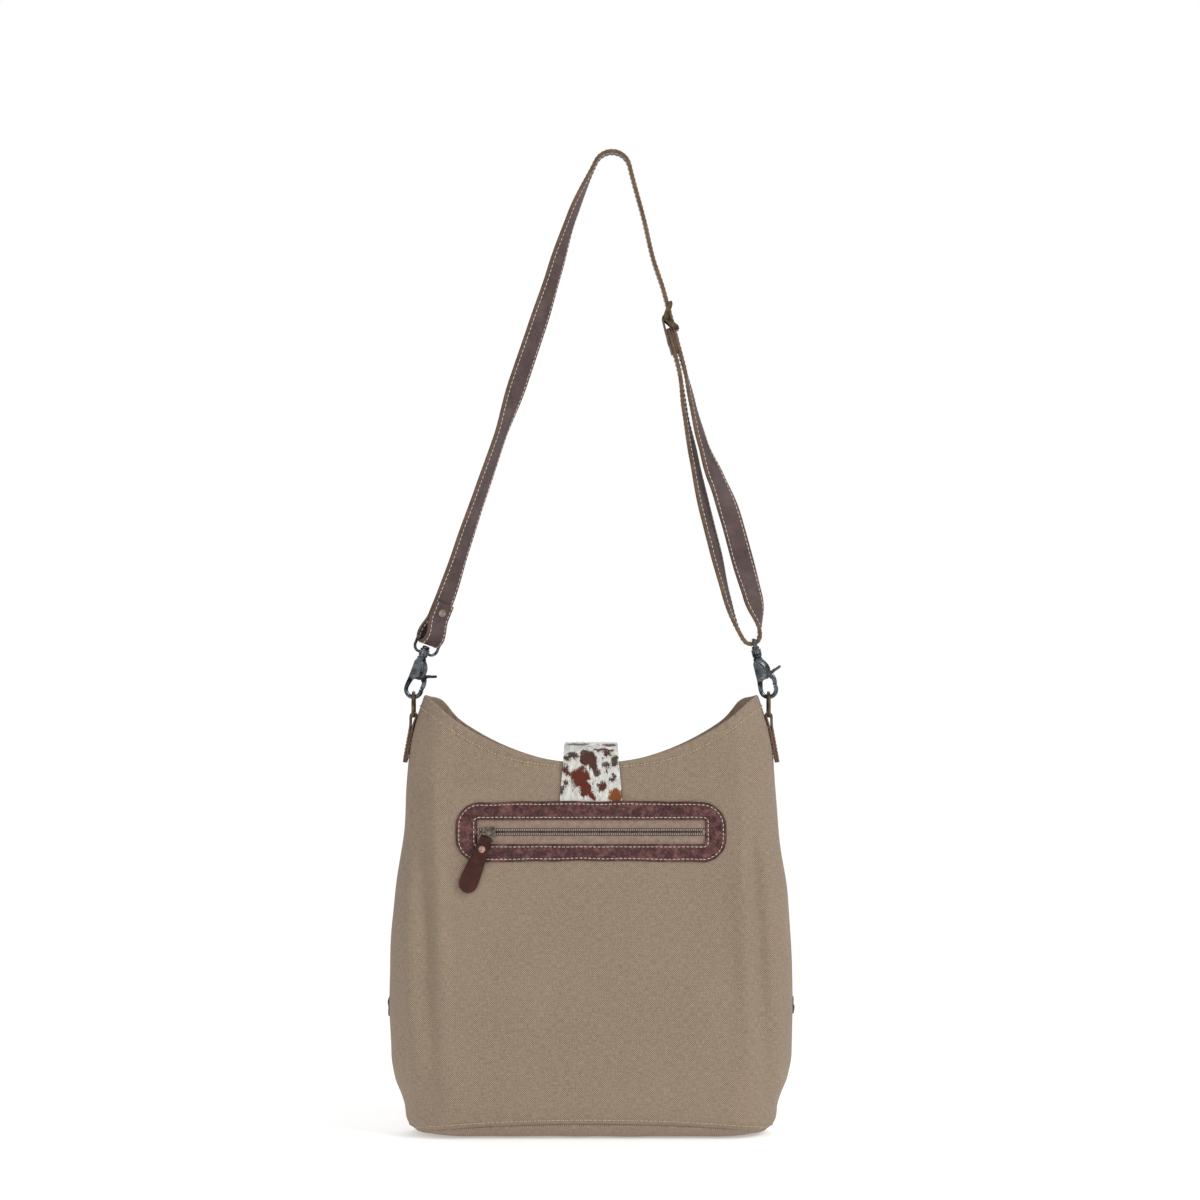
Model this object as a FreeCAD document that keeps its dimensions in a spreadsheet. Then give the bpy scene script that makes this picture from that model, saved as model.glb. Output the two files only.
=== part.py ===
"""Crossbody purse: a parametric FreeCAD 1.1 document, in millimetres.

The origin is the middle of the base's underside. +X runs to the right of someone who looks at the side with
the zip pocket, +Y goes from that side to the front of the purse, and +Z is up. The shoulder strap stands as
it does when the purse hangs from a round peg.
"""
import FreeCAD, Part
import math
import os

import Sketcher

V = FreeCAD.Vector
TINY = 0.05

# ---------------------------------------------------------------------------------------------------
# Driving dimensions: (alias, millimetres or degrees)
# ---------------------------------------------------------------------------------------------------
DIMENSIONS = [
    # stations of the bag's form, from the base up: height, half width, half depth
    ("base_height", 2), ("base_half_width", 167), ("base_half_depth", 46),
    ("turn_height", 32), ("turn_half_width", 177.5), ("turn_half_depth", 50),
    ("belly_height", 100), ("belly_half_width", 183.5), ("belly_half_depth", 52),
    ("chest_height", 168), ("chest_half_width", 183), ("chest_half_depth", 46),
    ("waist_height", 218), ("waist_half_width", 178.5), ("waist_half_depth", 36),
    ("mouth_height", 330), ("mouth_half_width", 166.5), ("mouth_half_depth", 36),
    ("tip_height", 410), ("tip_half_width", 150.5), ("tip_half_depth", 36),
    ("mouth_low", 337), ("mouth_radius", 213),
    ("canvas", 1.6), ("base_thickness", 2),
    ("lining_gap", 3), ("lining_depth_gap", 8), ("lining_cloth", 0.8), ("lining_drop", 13),
    ("yoke_low", 268), ("yoke_thickness", 1.4),
    ("braid_low", 94), ("braid_high", 131), ("braid_thickness", 3),
    # zip pocket
    ("zip_height", 275), ("zip_length", 206), ("zip_opening", 22), ("zip_window", 26),
    ("frame_length", 244), ("frame_height", 54), ("frame_leather", 1.8),
    ("frame_corner", 22), ("frame_inner_corner", 2),
    ("tape_length", 208), ("tape_height", 10), ("tape_cloth", 0.7), ("tape_behind", 0.2),
    ("chain_half", 2.75), ("tooth_pitch", 2.5), ("tooth_width", 1.2), ("tooth_depth", 1.6),
    ("tooth_gap", 0.8), ("tooth_count", 80), ("bead", 1.1), ("stop_size", 2.4),
    ("pocket_half_length", 107), ("pocket_low", 130), ("pocket_high", 300), ("pocket_cloth", 0.6),
    ("pocket_front", 1.8), ("pocket_back", 7.4),
    ("slider_rest", -92), ("slider_length", 12), ("slider_height", 8.4), ("slider_plate", 1.1),
    ("slider_web", 0.5), ("slider_play", 0.15),
    ("stud_radius", 1.1), ("stud_height", 5.8), ("stud_head", 2.2), ("stud_cap", 0.8),
    ("link_eye", 2.6), ("link_bore", 1.2), ("link_leather", 1.2), ("link_bar", 6.4), ("link_wire", 0.6),
    ("link_half_width", 6.9), ("pull_lean", 22), ("pull_length", 52), ("pull_half_top", 5.4),
    ("pull_end_radius", 8.5), ("pull_leather", 1.2), ("pull_flap", 24), ("pull_rivet_drop", 10),
    ("pull_rivet_radius", 3), ("pull_rivet_face", 0.7), ("pull_rivet_rear", 0.3),
    # closure tab over the mouth
    ("tab_root_half", 28.5), ("tab_hinge_half", 25.5), ("tab_front_half", 22), ("tab_low", 296),
    ("tab_hinge", 338), ("tab_arch", 354), ("tab_end", 286), ("tab_stand", 1.2), ("hide", 1.4),
    ("backing", 1), ("magnet_height", 304), ("magnet_radius", 8), ("magnet_socket", 2.2),
    ("magnet_stud", 2), ("magnet_post", 1.5), ("washer_radius", 7), ("washer", 1), ("tab_front_gap", 6),
    ("nose_radius", 3), ("nose_rise", 0.9), ("well_radius", 3.4), ("well_depth", 1.2),
    # side tabs and D-rings
    ("ring_place", 161.8), ("ring_bar_height", 378.4), ("ring_half", 11.5), ("ring_bend", 2.5),
    ("ring_side", 9.6), ("ring_wire", 1.5), ("side_tab_width", 18), ("side_tab_leather", 1.8),
    ("side_tab_length", 43), ("side_tab_slope", 10.5), ("running_gap", 0.1),
    # snap hooks: local frame at the middle of the claw, with its up axis along the stem
    ("claw_middle", 7), ("claw_wire", 1.75), ("claw_slack", 0.8), ("claw_tip", 3), ("hook_thick", 5),
    ("hook_slot", 2.6), ("stem_place", -3.8), ("spine_back", -8.75), ("spine_front", -5.25),
    ("hook_throat", 9),
    ("hook_top", 28), ("hook_front", 4.6), ("barrel_top", 33), ("barrel_radius", 4.4),
    ("neck_radius", 2), ("collar_top", 38), ("neck_head_top", 41), ("neck_head_radius", 3.4),
    ("eye_bar", 47), ("eye_half", 12.5), ("eye_wire", 1.5), ("eye_bend", 2.2), ("eye_play", 0.05),
    ("pivot_place", 0.5), ("pivot_height", 19), ("pin_radius", 1), ("gate_hub", 3), ("gate_thick", 2.4),
    ("lever_place", 14.8), ("lever_height", 17.5), ("spring_wire", 0.4), ("spring_radius", 1.5),
    ("spring_pitch", 0.45), ("spring_length", 0.7), ("spring_seat", 1.3),
    ("left_lean", 22), ("right_lean", -12), ("left_turn", 55),
    # strap
    ("strap_width", 20), ("strap_thick", 3), ("peg_radius", 15), ("peg_place", 19), ("peg_height", 876),
    ("left_leave", 26), ("right_leave", 13), ("loop_play", 0.1), ("fold_length", 36), ("fold_gap", 0.05),
    ("fold_round", 6), ("fold_pinch", 23), ("loop_round", 6.5), ("loop_shift", -2.5),
    ("fold_rivet_drop", 27), ("strap_rivet_radius", 3.6), ("strap_rivet_shank", 1.6), ("loop_leave", 33),
    ("buckle_place", 72.5), ("buckle_height", 742), ("buckle_lean", 15), ("straight_above", 24),
    ("straight_below", 44),
    ("buckle_wire", 1.3), ("buckle_half", 12), ("buckle_plate", 2.2), ("buckle_side_gap", 0.5),
    ("buckle_fold", 1.5), ("buckle_fold_length", 34), ("buckle_travel", 8), ("buckle_clear", 0.3),
    ("tail_start", 10), ("tail_end", 44), ("buckle_rivet_drop", 22), ("buckle_rivet_radius", 2),
]

doc = FreeCAD.newDocument("CrossbodyPurse")
sheet = doc.addObject("Spreadsheet::Sheet", "Sizes")
for row, (alias, value) in enumerate(DIMENSIONS, start=1):
    sheet.set(f"A{row}", alias)
    sheet.set(f"B{row}", str(value))
    sheet.setAlias(f"B{row}", alias)
doc.recompute()
ALIASES = set(alias for alias, value in DIMENSIONS)
PIECES = []


# ---------------------------------------------------------------------------------------------------
# Sheet helpers
# ---------------------------------------------------------------------------------------------------
def size(alias):
    """The number in the cell of that alias."""
    return float(sheet.get(alias))


def linked(expression):
    """The expression with each alias in it written as a reference to its cell."""
    words, word = [], ""
    for letter in str(expression) + " ":
        if letter.isalnum() or letter in "_.":
            word += letter
            continue
        words.append(f"Sizes.{word}" if word in ALIASES else word)
        words.append(letter)
        word = ""
    return "".join(words).strip()


def bind(target, prop, expression):
    """Ties a property of the target to the sheet."""
    target.setExpression(prop, linked(expression))


def worked_out(expression):
    """The expression's value now, as a number of millimetres."""
    found = sheet.evalExpression(linked(expression))
    return float(getattr(found, "Value", found))


# ---------------------------------------------------------------------------------------------------
# Bodies, sketches and features
# ---------------------------------------------------------------------------------------------------
def piece(label, shape_holder):
    """Names a document object as one of the purse's pieces."""
    shape_holder.Label = label
    PIECES.append(shape_holder)
    return shape_holder


def new_body(label):
    """An empty body that will hold one piece."""
    return piece(label, doc.addObject("PartDesign::Body", label))


def new_sketch(body, role, name, offset=None):
    """A sketch on one of the body's own origin planes."""
    sketch = body.newObject("Sketcher::SketchObject", name)
    plane = next(item for item in body.Origin.OriginFeatures if item.Role == role)
    sketch.AttachmentSupport = (plane, "")
    sketch.MapMode = "FlatFace"
    if offset is not None:
        bind(sketch, "AttachmentOffset.Base.z", offset)
    return sketch


def pin(sketch, kind, geometry, end, expression):
    """Holds one point's distance from the sketch's origin, along one axis, at a bound length."""
    index = sketch.addConstraint(Sketcher.Constraint(kind, -1, 1, geometry, end, worked_out(expression)))
    bind(sketch, f"Constraints[{index}]", expression)


def pin_point(sketch, geometry, end, across, up):
    """Holds one point of the sketch at two bound distances from its origin."""
    pin(sketch, "DistanceX", geometry, end, across)
    pin(sketch, "DistanceY", geometry, end, up)


def outline(sketch, corners):
    """A closed polygon through corners given as pairs of expressions."""
    spots = [V(worked_out(across), worked_out(up), 0) for across, up in corners]
    count = len(spots)
    first = sketch.GeometryCount
    for index in range(count):
        sketch.addGeometry(Part.LineSegment(spots[index], spots[(index + 1) % count]))
    for index in range(count):
        after = first + (index + 1) % count
        sketch.addConstraint(Sketcher.Constraint("Coincident", first + index, 2, after, 1))
    for index, (across, up) in enumerate(corners):
        pin_point(sketch, first + index, 1, across, up)
    return sketch


def rectangle(sketch, left, right, low, high):
    """A closed rectangle between four bound distances."""
    return outline(sketch, [(left, low), (right, low), (right, high), (left, high)])


def circle(sketch, radius, across="0", up="0"):
    """A circle of a bound radius about a bound point."""
    middle = V(worked_out(across), worked_out(up), 0)
    index = sketch.addGeometry(Part.Circle(middle, V(0, 0, 1), worked_out(radius)))
    limit = sketch.addConstraint(Sketcher.Constraint("Radius", index, worked_out(radius)))
    bind(sketch, f"Constraints[{limit}]", radius)
    pin_point(sketch, index, 3, across, up)
    return sketch


def arc(sketch, radius, across, up, start, finish):
    """An arc about a bound point, between two directions in degrees; returns its geometry number."""
    ring = Part.Circle(V(worked_out(across), worked_out(up), 0), V(0, 0, 1), worked_out(radius))
    return sketch.addGeometry(Part.ArcOfCircle(ring, math.radians(start), math.radians(finish)))


def pad(body, sketch, length, both_ways=False, backwards=False):
    """Extrudes a sketch by a bound length."""
    doc.recompute()
    feature = body.newObject("PartDesign::Pad", sketch.Name + "Pad")
    feature.Profile = sketch
    feature.Midplane = both_ways
    feature.Reversed = backwards
    bind(feature, "Length", length)
    body.Tip = feature
    doc.recompute()
    return feature


def pocket(body, sketch, length, both_ways=True, backwards=False):
    """Cuts a sketch out of the body and makes sure that it removed something."""
    doc.recompute()
    before = body.Shape.Volume
    feature = body.newObject("PartDesign::Pocket", sketch.Name + "Pocket")
    feature.Profile = sketch
    feature.Midplane = both_ways
    feature.Reversed = backwards
    bind(feature, "Length", length)
    body.Tip = feature
    doc.recompute()
    if body.Shape.Volume > before - TINY:
        raise RuntimeError(f"{sketch.Name} cuts nothing from {body.Label}")
    return feature


def revolve(body, sketch):
    """Turns a sketch right round its own vertical axis."""
    doc.recompute()
    feature = body.newObject("PartDesign::Revolution", sketch.Name + "Revolution")
    feature.Profile = sketch
    feature.ReferenceAxis = (sketch, ["V_Axis"])
    feature.Angle = 360
    body.Tip = feature
    doc.recompute()
    return feature


def pipe(body, path, profile):
    """Sweeps a profile along a path sketch."""
    doc.recompute()
    feature = body.newObject("PartDesign::AdditivePipe", path.Name + "Pipe")
    feature.Profile = profile
    feature.Spine = path
    body.Tip = feature
    doc.recompute()
    return feature


def place(target, at, turn=None):
    """Puts a piece at a point, turned by a rotation."""
    target.Placement = FreeCAD.Placement(at, turn or FreeCAD.Rotation())
    return target


def box_tool(name, low, high):
    """A Part box between two corners given as triples of expressions; a tool, not a piece."""
    tool = doc.addObject("Part::Box", name)
    for axis, prop, lowest, highest in zip("xyz", ("Length", "Width", "Height"), low, high):
        bind(tool, f"Placement.Base.{axis}", lowest)
        bind(tool, prop, f"({highest}) - ({lowest})")
    return tool


def boolean(kind, name, base, tool):
    """A Part::Cut, Part::Common or Part::Fuse of two document objects."""
    result = doc.addObject(f"Part::{kind}", name)
    result.Base = base
    result.Tool = tool
    result.Refine = False
    return result


# ---------------------------------------------------------------------------------------------------
# The bag's form: a ruled loft through rounded sections, moved inwards for each inner layer
# ---------------------------------------------------------------------------------------------------
STATIONS = ["base", "turn", "belly", "chest", "waist", "mouth", "tip"]


def station(name, prefix, side_inset, depth_inset):
    """One level section: two straight sides with a half circle at each end."""
    sketch = doc.addObject("Sketcher::SketchObject", f"{name}_{prefix}")
    bind(sketch, "Placement.Base.z", f"{prefix}_height")
    radius = f"{prefix}_half_depth - ({depth_inset})"
    middle = f"{prefix}_half_width - ({side_inset}) - {prefix}_half_depth + ({depth_inset})"
    reach, wide = worked_out(middle), worked_out(radius)
    near = sketch.addGeometry(Part.LineSegment(V(-reach, -wide, 0), V(reach, -wide, 0)))
    right = arc(sketch, radius, middle, "0", -90, 90)
    far = sketch.addGeometry(Part.LineSegment(V(reach, wide, 0), V(-reach, wide, 0)))
    left = arc(sketch, radius, f"-({middle})", "0", 90, 270)
    for line, curve, after in ((near, right, far), (far, left, near)):
        sketch.addConstraint(Sketcher.Constraint("Coincident", line, 2, curve, 1))
        sketch.addConstraint(Sketcher.Constraint("Coincident", curve, 2, after, 1))
    pin_point(sketch, right, 3, middle, "0")
    pin_point(sketch, left, 3, f"-({middle})", "0")
    pin_point(sketch, near, 1, f"-({middle})", f"-({radius})")
    pin_point(sketch, near, 2, middle, f"-({radius})")
    pin(sketch, "DistanceX", far, 1, middle)
    pin(sketch, "DistanceX", far, 2, f"-({middle})")
    return sketch


def bag_form(name, side_inset="0", depth_inset="0"):
    """The solid inside the bag's form, moved in from the sides and from front and back."""
    loft = doc.addObject("Part::Loft", name)
    loft.Sections = [station(name, prefix, side_inset, depth_inset) for prefix in STATIONS]
    loft.Solid = True
    loft.Ruled = True
    return loft


def mouth_tool(name, lower):
    """A level cylinder along Y whose underside is the hollow curve of the mouth."""
    tool = doc.addObject("Part::Cylinder", name)
    bind(tool, "Radius", f"mouth_radius + ({lower})")
    tool.Height = 200
    tool.Placement = FreeCAD.Placement(V(0, 100, 0), FreeCAD.Rotation(V(1, 0, 0), 90))
    bind(tool, "Placement.Base.z", "mouth_low + mouth_radius")
    return tool


BACK_HALF = (("-200", "-100", "0"), ("200", "0", "450"))
FRONT_HALF = (("-200", "0", "0"), ("200", "100", "450"))


def layer(name, outer_inset, inner_inset, lower="0"):
    """The cloth between two insets of the bag's form, open along the mouth."""
    outer = bag_form(f"{name}_outer", outer_inset[0], outer_inset[1])
    inner = bag_form(f"{name}_inner", inner_inset[0], inner_inset[1])
    shell = boolean("Cut", f"{name}_shell", outer, inner)
    return boolean("Cut", f"{name}_open", shell, mouth_tool(f"{name}_mouth", lower))


def make_canvas():
    """Back panel with the zip's window, front panel, and the base that they are sewn to."""
    wall = layer("canvas_wall", ("0", "0"), ("canvas", "canvas"))
    back = boolean("Common", "back_half", wall, box_tool("back_space", *BACK_HALF))
    window = box_tool("zip_window_space", ("-zip_length/2 - 2", "-60", "zip_height - zip_window/2"),
                      ("zip_length/2 + 2", "-20", "zip_height + zip_window/2"))
    piece("back_panel", boolean("Cut", "back_panel", back, window))
    front = boolean("Common", "front_half", wall, box_tool("front_space", *FRONT_HALF))
    piece("front_panel", boolean("Cut", "front_panel", front, magnet_hole("front_panel_hole")))
    body = new_body("base_panel")
    level = new_sketch(body, "XY_Plane", "base_outline")
    rounded(level, "base_half_width", "base_half_depth", "base_half_depth - 0.5")
    pad(body, level, "base_thickness")


def magnet_hole(name):
    """The level hole for the magnet's post, along Y through the front."""
    tool = doc.addObject("Part::Cylinder", name)
    bind(tool, "Radius", "magnet_post + running_gap")
    tool.Height = 100
    tool.Placement = FreeCAD.Placement(V(0, 100, 0), FreeCAD.Rotation(V(1, 0, 0), 90))
    bind(tool, "Placement.Base.z", "magnet_height")
    return tool


def make_lining():
    """The loose lining, a second bag inside the canvas."""
    outer = bag_form("lining_outer", "lining_gap", "lining_depth_gap")
    outer.Placement.Base.z = 0.2
    inner = bag_form("lining_inner", "lining_gap + lining_cloth", "lining_depth_gap + lining_cloth")
    inner.Placement.Base.z = 1
    bag = boolean("Cut", "lining_bag", outer, inner)
    piece("lining", boolean("Cut", "lining", bag, mouth_tool("lining_mouth", "lining_drop")))


def make_zip_pocket():
    """The pocket bag behind the zip, hung between the canvas and the lining."""
    outer = bag_form("pocket_front_face", "10", "pocket_front")
    inner = bag_form("pocket_back_face", "10", "pocket_back")
    space = box_tool("pocket_space", ("-pocket_half_length", "-100", "pocket_low"),
                     ("pocket_half_length", "0", "pocket_high"))
    block = boolean("Common", "pocket_block", boolean("Cut", "pocket_gap", outer, inner), space)
    hollow_outer = bag_form("pocket_hollow_front", "10", "pocket_front + pocket_cloth")
    hollow_inner = bag_form("pocket_hollow_back", "10", "pocket_back - pocket_cloth")
    room = box_tool("pocket_room",
                    ("-pocket_half_length + pocket_cloth", "-100", "pocket_low + pocket_cloth"),
                    ("pocket_half_length - pocket_cloth", "0", "pocket_high - pocket_cloth"))
    gap = boolean("Cut", "pocket_hollow_gap", hollow_outer, hollow_inner)
    hollow = boolean("Common", "pocket_hollow", gap, room)
    mouth = box_tool("pocket_mouth", ("-pocket_half_length + 2", "-60", "zip_height - 16"),
                     ("pocket_half_length - 2", "-32.5", "zip_height + 16"))
    bag = boolean("Cut", "pocket_bag", block, hollow)
    longer = box_tool("pocket_tape_room", ("-pocket_half_length - 3", "-60", "zip_height - 16"),
                      ("pocket_half_length + 3", "-33.2", "zip_height + 16"))
    opened = boolean("Cut", "pocket_open", bag, mouth)
    piece("zip_pocket_bag", boolean("Cut", "zip_pocket_bag", opened, longer))


def make_front_trim():
    """The hair-on hide yoke and the braided leather band on the front of the purse."""
    cover = layer("yoke", ("-yoke_thickness", "-yoke_thickness"), ("0", "0"))
    lower = box_tool("yoke_low_space", ("-200", "0", "yoke_low"), ("200", "100", "mouth_low - 4"))
    upper = box_tool("yoke_high_space", ("-200", "14", "mouth_low - 5"), ("200", "100", "450"))
    space = boolean("Fuse", "yoke_space", lower, upper)
    cut = boolean("Common", "yoke_cover", cover, space)
    piece("front_hide_yoke", boolean("Cut", "front_hide_yoke", cut, magnet_hole("yoke_hole")))
    outer = bag_form("braid_outer", "-braid_thickness", "-braid_thickness")
    shell = boolean("Cut", "braid_shell", outer, bag_form("braid_inner"))
    band = box_tool("braid_space", ("-200", "0", "braid_low"), ("200", "100", "braid_high"))
    piece("front_braid", boolean("Common", "front_braid", shell, band))


# ---------------------------------------------------------------------------------------------------
# The zip
# ---------------------------------------------------------------------------------------------------
def rounded(sketch, half_length, half_height, radius, up="0"):
    """A rounded rectangle about a point on the sketch's vertical axis."""
    reach, rise = f"({half_length}) - ({radius})", f"({half_height}) - ({radius})"
    high, low = f"({up}) + ({rise})", f"({up}) - ({rise})"
    arcs = [arc(sketch, radius, reach, low, -90, 0), arc(sketch, radius, reach, high, 0, 90),
            arc(sketch, radius, f"-({reach})", high, 90, 180),
            arc(sketch, radius, f"-({reach})", low, 180, 270)]
    middles = [(reach, low), (reach, high), (f"-({reach})", high), (f"-({reach})", low)]
    for index in range(4):
        start = sketch.Geometry[arcs[index]].EndPoint
        finish = sketch.Geometry[arcs[(index + 1) % 4]].StartPoint
        line = sketch.addGeometry(Part.LineSegment(start, finish))
        sketch.addConstraint(Sketcher.Constraint("Tangent", arcs[index], 2, line, 1))
        sketch.addConstraint(Sketcher.Constraint("Tangent", line, 2, arcs[(index + 1) % 4], 1))
    for index, (across, height) in enumerate(middles):
        pin_point(sketch, arcs[index], 3, across, height)
    limit = sketch.addConstraint(Sketcher.Constraint("Radius", arcs[0], worked_out(radius)))
    bind(sketch, f"Constraints[{limit}]", radius)
    return sketch


def make_zip_frame():
    """The leather frame round the zip, hollowed behind for the closure tab's tucked end."""
    body = new_body("zip_frame")
    face = new_sketch(body, "XZ_Plane", "frame_outline", "waist_half_depth")
    rounded(face, "frame_length/2", "frame_height/2", "frame_corner", "zip_height")
    rounded(face, "zip_length/2", "zip_opening/2", "frame_inner_corner", "zip_height")
    pad(body, face, "frame_leather")
    tuck = new_sketch(body, "XZ_Plane", "frame_tuck", "waist_half_depth - 0.5")
    rectangle(tuck, "-tab_root_half - 1", "tab_root_half + 1", "tab_low - 0.5", "tab_hinge")
    pocket(body, tuck, "1.8", both_ways=False, backwards=True)


def make_zip_tapes():
    """Two woven tapes behind the window, with the chain's room between them."""
    for label, sign in (("zip_tape_upper", "1"), ("zip_tape_lower", "-1")):
        body = new_body(label)
        face = new_sketch(body, "XZ_Plane", f"{label}_outline", "waist_half_depth - tape_behind - tape_cloth")
        near = f"zip_height + {sign}*chain_half"
        far = f"zip_height + {sign}*(chain_half + tape_height)"
        rectangle(face, "-tape_length/2", "tape_length/2", *((near, far) if sign == "1" else (far, near)))
        pad(body, face, "tape_cloth")


CHAIN_DEPTH = "waist_half_depth - tape_behind - tape_cloth/2"


def make_zip_teeth():
    """Two rows of metal teeth, each cast on the bead of its tape."""
    for label, sign in (("zip_teeth_upper", "1"), ("zip_teeth_lower", "-1")):
        body = new_body(label)
        run = new_sketch(body, "XZ_Plane", f"{label}_bead", CHAIN_DEPTH)
        edge = f"zip_height + {sign}*chain_half"
        inside = f"zip_height + {sign}*(chain_half - bead)"
        rectangle(run, "-tooth_pitch*tooth_count/2", "tooth_pitch*tooth_count/2",
                  *((inside, edge) if sign == "1" else (edge, inside)))
        pad(body, run, "tooth_depth - 0.4", both_ways=True)
        shape = new_sketch(body, "XZ_Plane", f"{label}_tooth", CHAIN_DEPTH)
        tip = f"zip_height + {sign}*tooth_gap/2"
        root = f"zip_height + {sign}*(chain_half - 0.3)"
        start = "-tooth_pitch*tooth_count/2 + 0.6"
        rectangle(shape, start, f"{start} + tooth_width", *((tip, root) if sign == "1" else (root, tip)))
        tooth = pad(body, shape, "tooth_depth", both_ways=True)
        row = body.newObject("PartDesign::LinearPattern", f"{label}_row")
        row.Originals = [tooth]
        row.Direction = (shape, ["H_Axis"])
        bind(row, "Occurrences", "tooth_count")
        bind(row, "Length", "tooth_pitch*(tooth_count - 1)")
        body.Tip = row
        doc.recompute()


def make_zip_stops():
    """The two metal stops that close the chain's ends."""
    body = new_body("zip_stops")
    for side in ("-1", "1"):
        face = new_sketch(body, "XZ_Plane", f"stop_{'left' if side == '-1' else 'right'}", CHAIN_DEPTH)
        near = f"{side}*(tooth_pitch*tooth_count/2 + 1.6) - stop_size/2"
        rectangle(face, near, f"{near} + stop_size", "zip_height - stop_size", "zip_height + stop_size")
        pad(body, face, "tooth_depth", both_ways=True)


SLIDER_FACE = "waist_half_depth - tape_behind - tape_cloth/2 + tooth_depth/2 + slider_play + slider_plate"


def make_zip_slider():
    """Two plates over and under the chain, a thin web between the rows and the stud that carries the link."""
    body = new_body("zip_slider")
    half = "tooth_depth/2 + slider_play"
    depths = {"front": f"{CHAIN_DEPTH} + {half}", "rear": f"{CHAIN_DEPTH} - ({half}) - slider_plate"}
    for name, depth in depths.items():
        plate = new_sketch(body, "XZ_Plane", f"slider_{name}", depth)
        rounded(plate, "slider_length/2", "slider_height/2", "2.4", "zip_height")
        pad(body, plate, "slider_plate")
        if name == "front":
            web = new_sketch(body, "XZ_Plane", "slider_web_outline", CHAIN_DEPTH)
            rectangle(web, "-slider_length/4", "slider_length/4", "zip_height - slider_web/2",
                      "zip_height + slider_web/2")
            pad(body, web, f"2*({half})", both_ways=True)
    stud = new_sketch(body, "XZ_Plane", "slider_stud", SLIDER_FACE)
    circle(stud, "stud_radius", "0", "zip_height")
    pad(body, stud, "stud_height")
    cap = new_sketch(body, "XZ_Plane", "slider_cap", f"{SLIDER_FACE} + stud_height")
    circle(cap, "stud_head", "0", "zip_height")
    pad(body, cap, "stud_cap")
    bind(body, "Placement.Base.x", "slider_rest")


def pull_pivot():
    """The point about which the link swings, on the slider's stud."""
    depth = worked_out(f"{SLIDER_FACE} + stud_height/2")
    return V(size("slider_rest"), -depth, size("zip_height"))


def pull_turn():
    """The lean of the hanging pull: it hangs down and to the left."""
    return FreeCAD.Rotation(V(0, 1, 0), size("pull_lean"))


def make_zip_link():
    """The metal link: an eye on the stud and a bar that carries the leather pull."""
    body = new_body("zip_link")
    eye = new_sketch(body, "XZ_Plane", "link_eye_outline")
    circle(eye, "link_eye")
    pad(body, eye, "link_leather", both_ways=True)
    neck = new_sketch(body, "XZ_Plane", "link_neck")
    foot = "-link_bar - link_wire"
    outline(neck, [("-1.3", "-1.8"), ("-link_half_width", "-3.4"), ("-link_half_width", foot),
                   ("link_half_width", foot), ("link_half_width", "-3.4"), ("1.3", "-1.8")])
    pad(body, neck, "link_leather", both_ways=True)
    hole = new_sketch(body, "XZ_Plane", "link_bore_outline")
    circle(hole, "link_bore")
    pocket(body, hole, "6")
    slot = new_sketch(body, "XZ_Plane", "link_slot")
    rectangle(slot, "-link_half_width + 1.2", "link_half_width - 1.2", "-link_bar + link_wire", "-3.9")
    pocket(body, slot, "6")
    place(body, pull_pivot(), pull_turn())


def make_zip_pull():
    """The leather pull, folded over the link's bar and riveted, with a rounded long end."""
    body = new_body("zip_pull")
    bend = "link_wire + 0.35"
    fold = new_sketch(body, "YZ_Plane", "pull_fold")
    circle(fold, f"{bend} + pull_leather", "0", "-link_bar")
    pad(body, fold, "2*pull_half_top", both_ways=True)
    for name, side, length in (("rear", "1", "pull_length - pull_end_radius"), ("front", "-1", "pull_flap")):
        leg = new_sketch(body, "XZ_Plane", f"pull_{name}",
                         bend if side == "-1" else f"-({bend}) - pull_leather")
        low = f"-link_bar - ({length})"
        wide = "pull_end_radius" if name == "rear" else "pull_half_top + 1.5"
        outline(leg, [("-pull_half_top", "-link_bar"), (f"-({wide})", low), (wide, low),
                      ("pull_half_top", "-link_bar")])
        pad(body, leg, "pull_leather")
        if name == "rear":
            end = new_sketch(body, "XZ_Plane", "pull_end", f"-({bend}) - pull_leather")
            circle(end, "pull_end_radius", "0", low)
            pad(body, end, "pull_leather")
    bore = new_sketch(body, "YZ_Plane", "pull_bore")
    circle(bore, bend, "0", "-link_bar")
    pocket(body, bore, "40")
    gap = new_sketch(body, "YZ_Plane", "pull_gap")
    rectangle(gap, f"-({bend})", bend, "-link_bar - 8.2", "-link_bar")
    pocket(body, gap, "40")
    hole = new_sketch(body, "XZ_Plane", "pull_rivet_hole")
    circle(hole, "pull_rivet_radius/2", "0", "-link_bar - pull_rivet_drop")
    pocket(body, hole, "20")
    place(body, pull_pivot(), pull_turn())
    rivet = new_body("zip_pull_rivet")
    shank = new_sketch(rivet, "XZ_Plane", "pull_rivet_shank")
    circle(shank, "pull_rivet_radius/2", "0", "-link_bar - pull_rivet_drop")
    pad(rivet, shank, f"2*({bend} + pull_leather)", both_ways=True)
    caps = (("face", f"{bend} + pull_leather"), ("rear", f"-({bend}) - pull_leather - pull_rivet_rear"))
    for name, depth in caps:
        cap = new_sketch(rivet, "XZ_Plane", f"pull_rivet_{name}_cap", depth)
        circle(cap, "pull_rivet_radius", "0", "-link_bar - pull_rivet_drop")
        pad(rivet, cap, f"pull_rivet_{name}")
    place(rivet, pull_pivot(), pull_turn())


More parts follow.
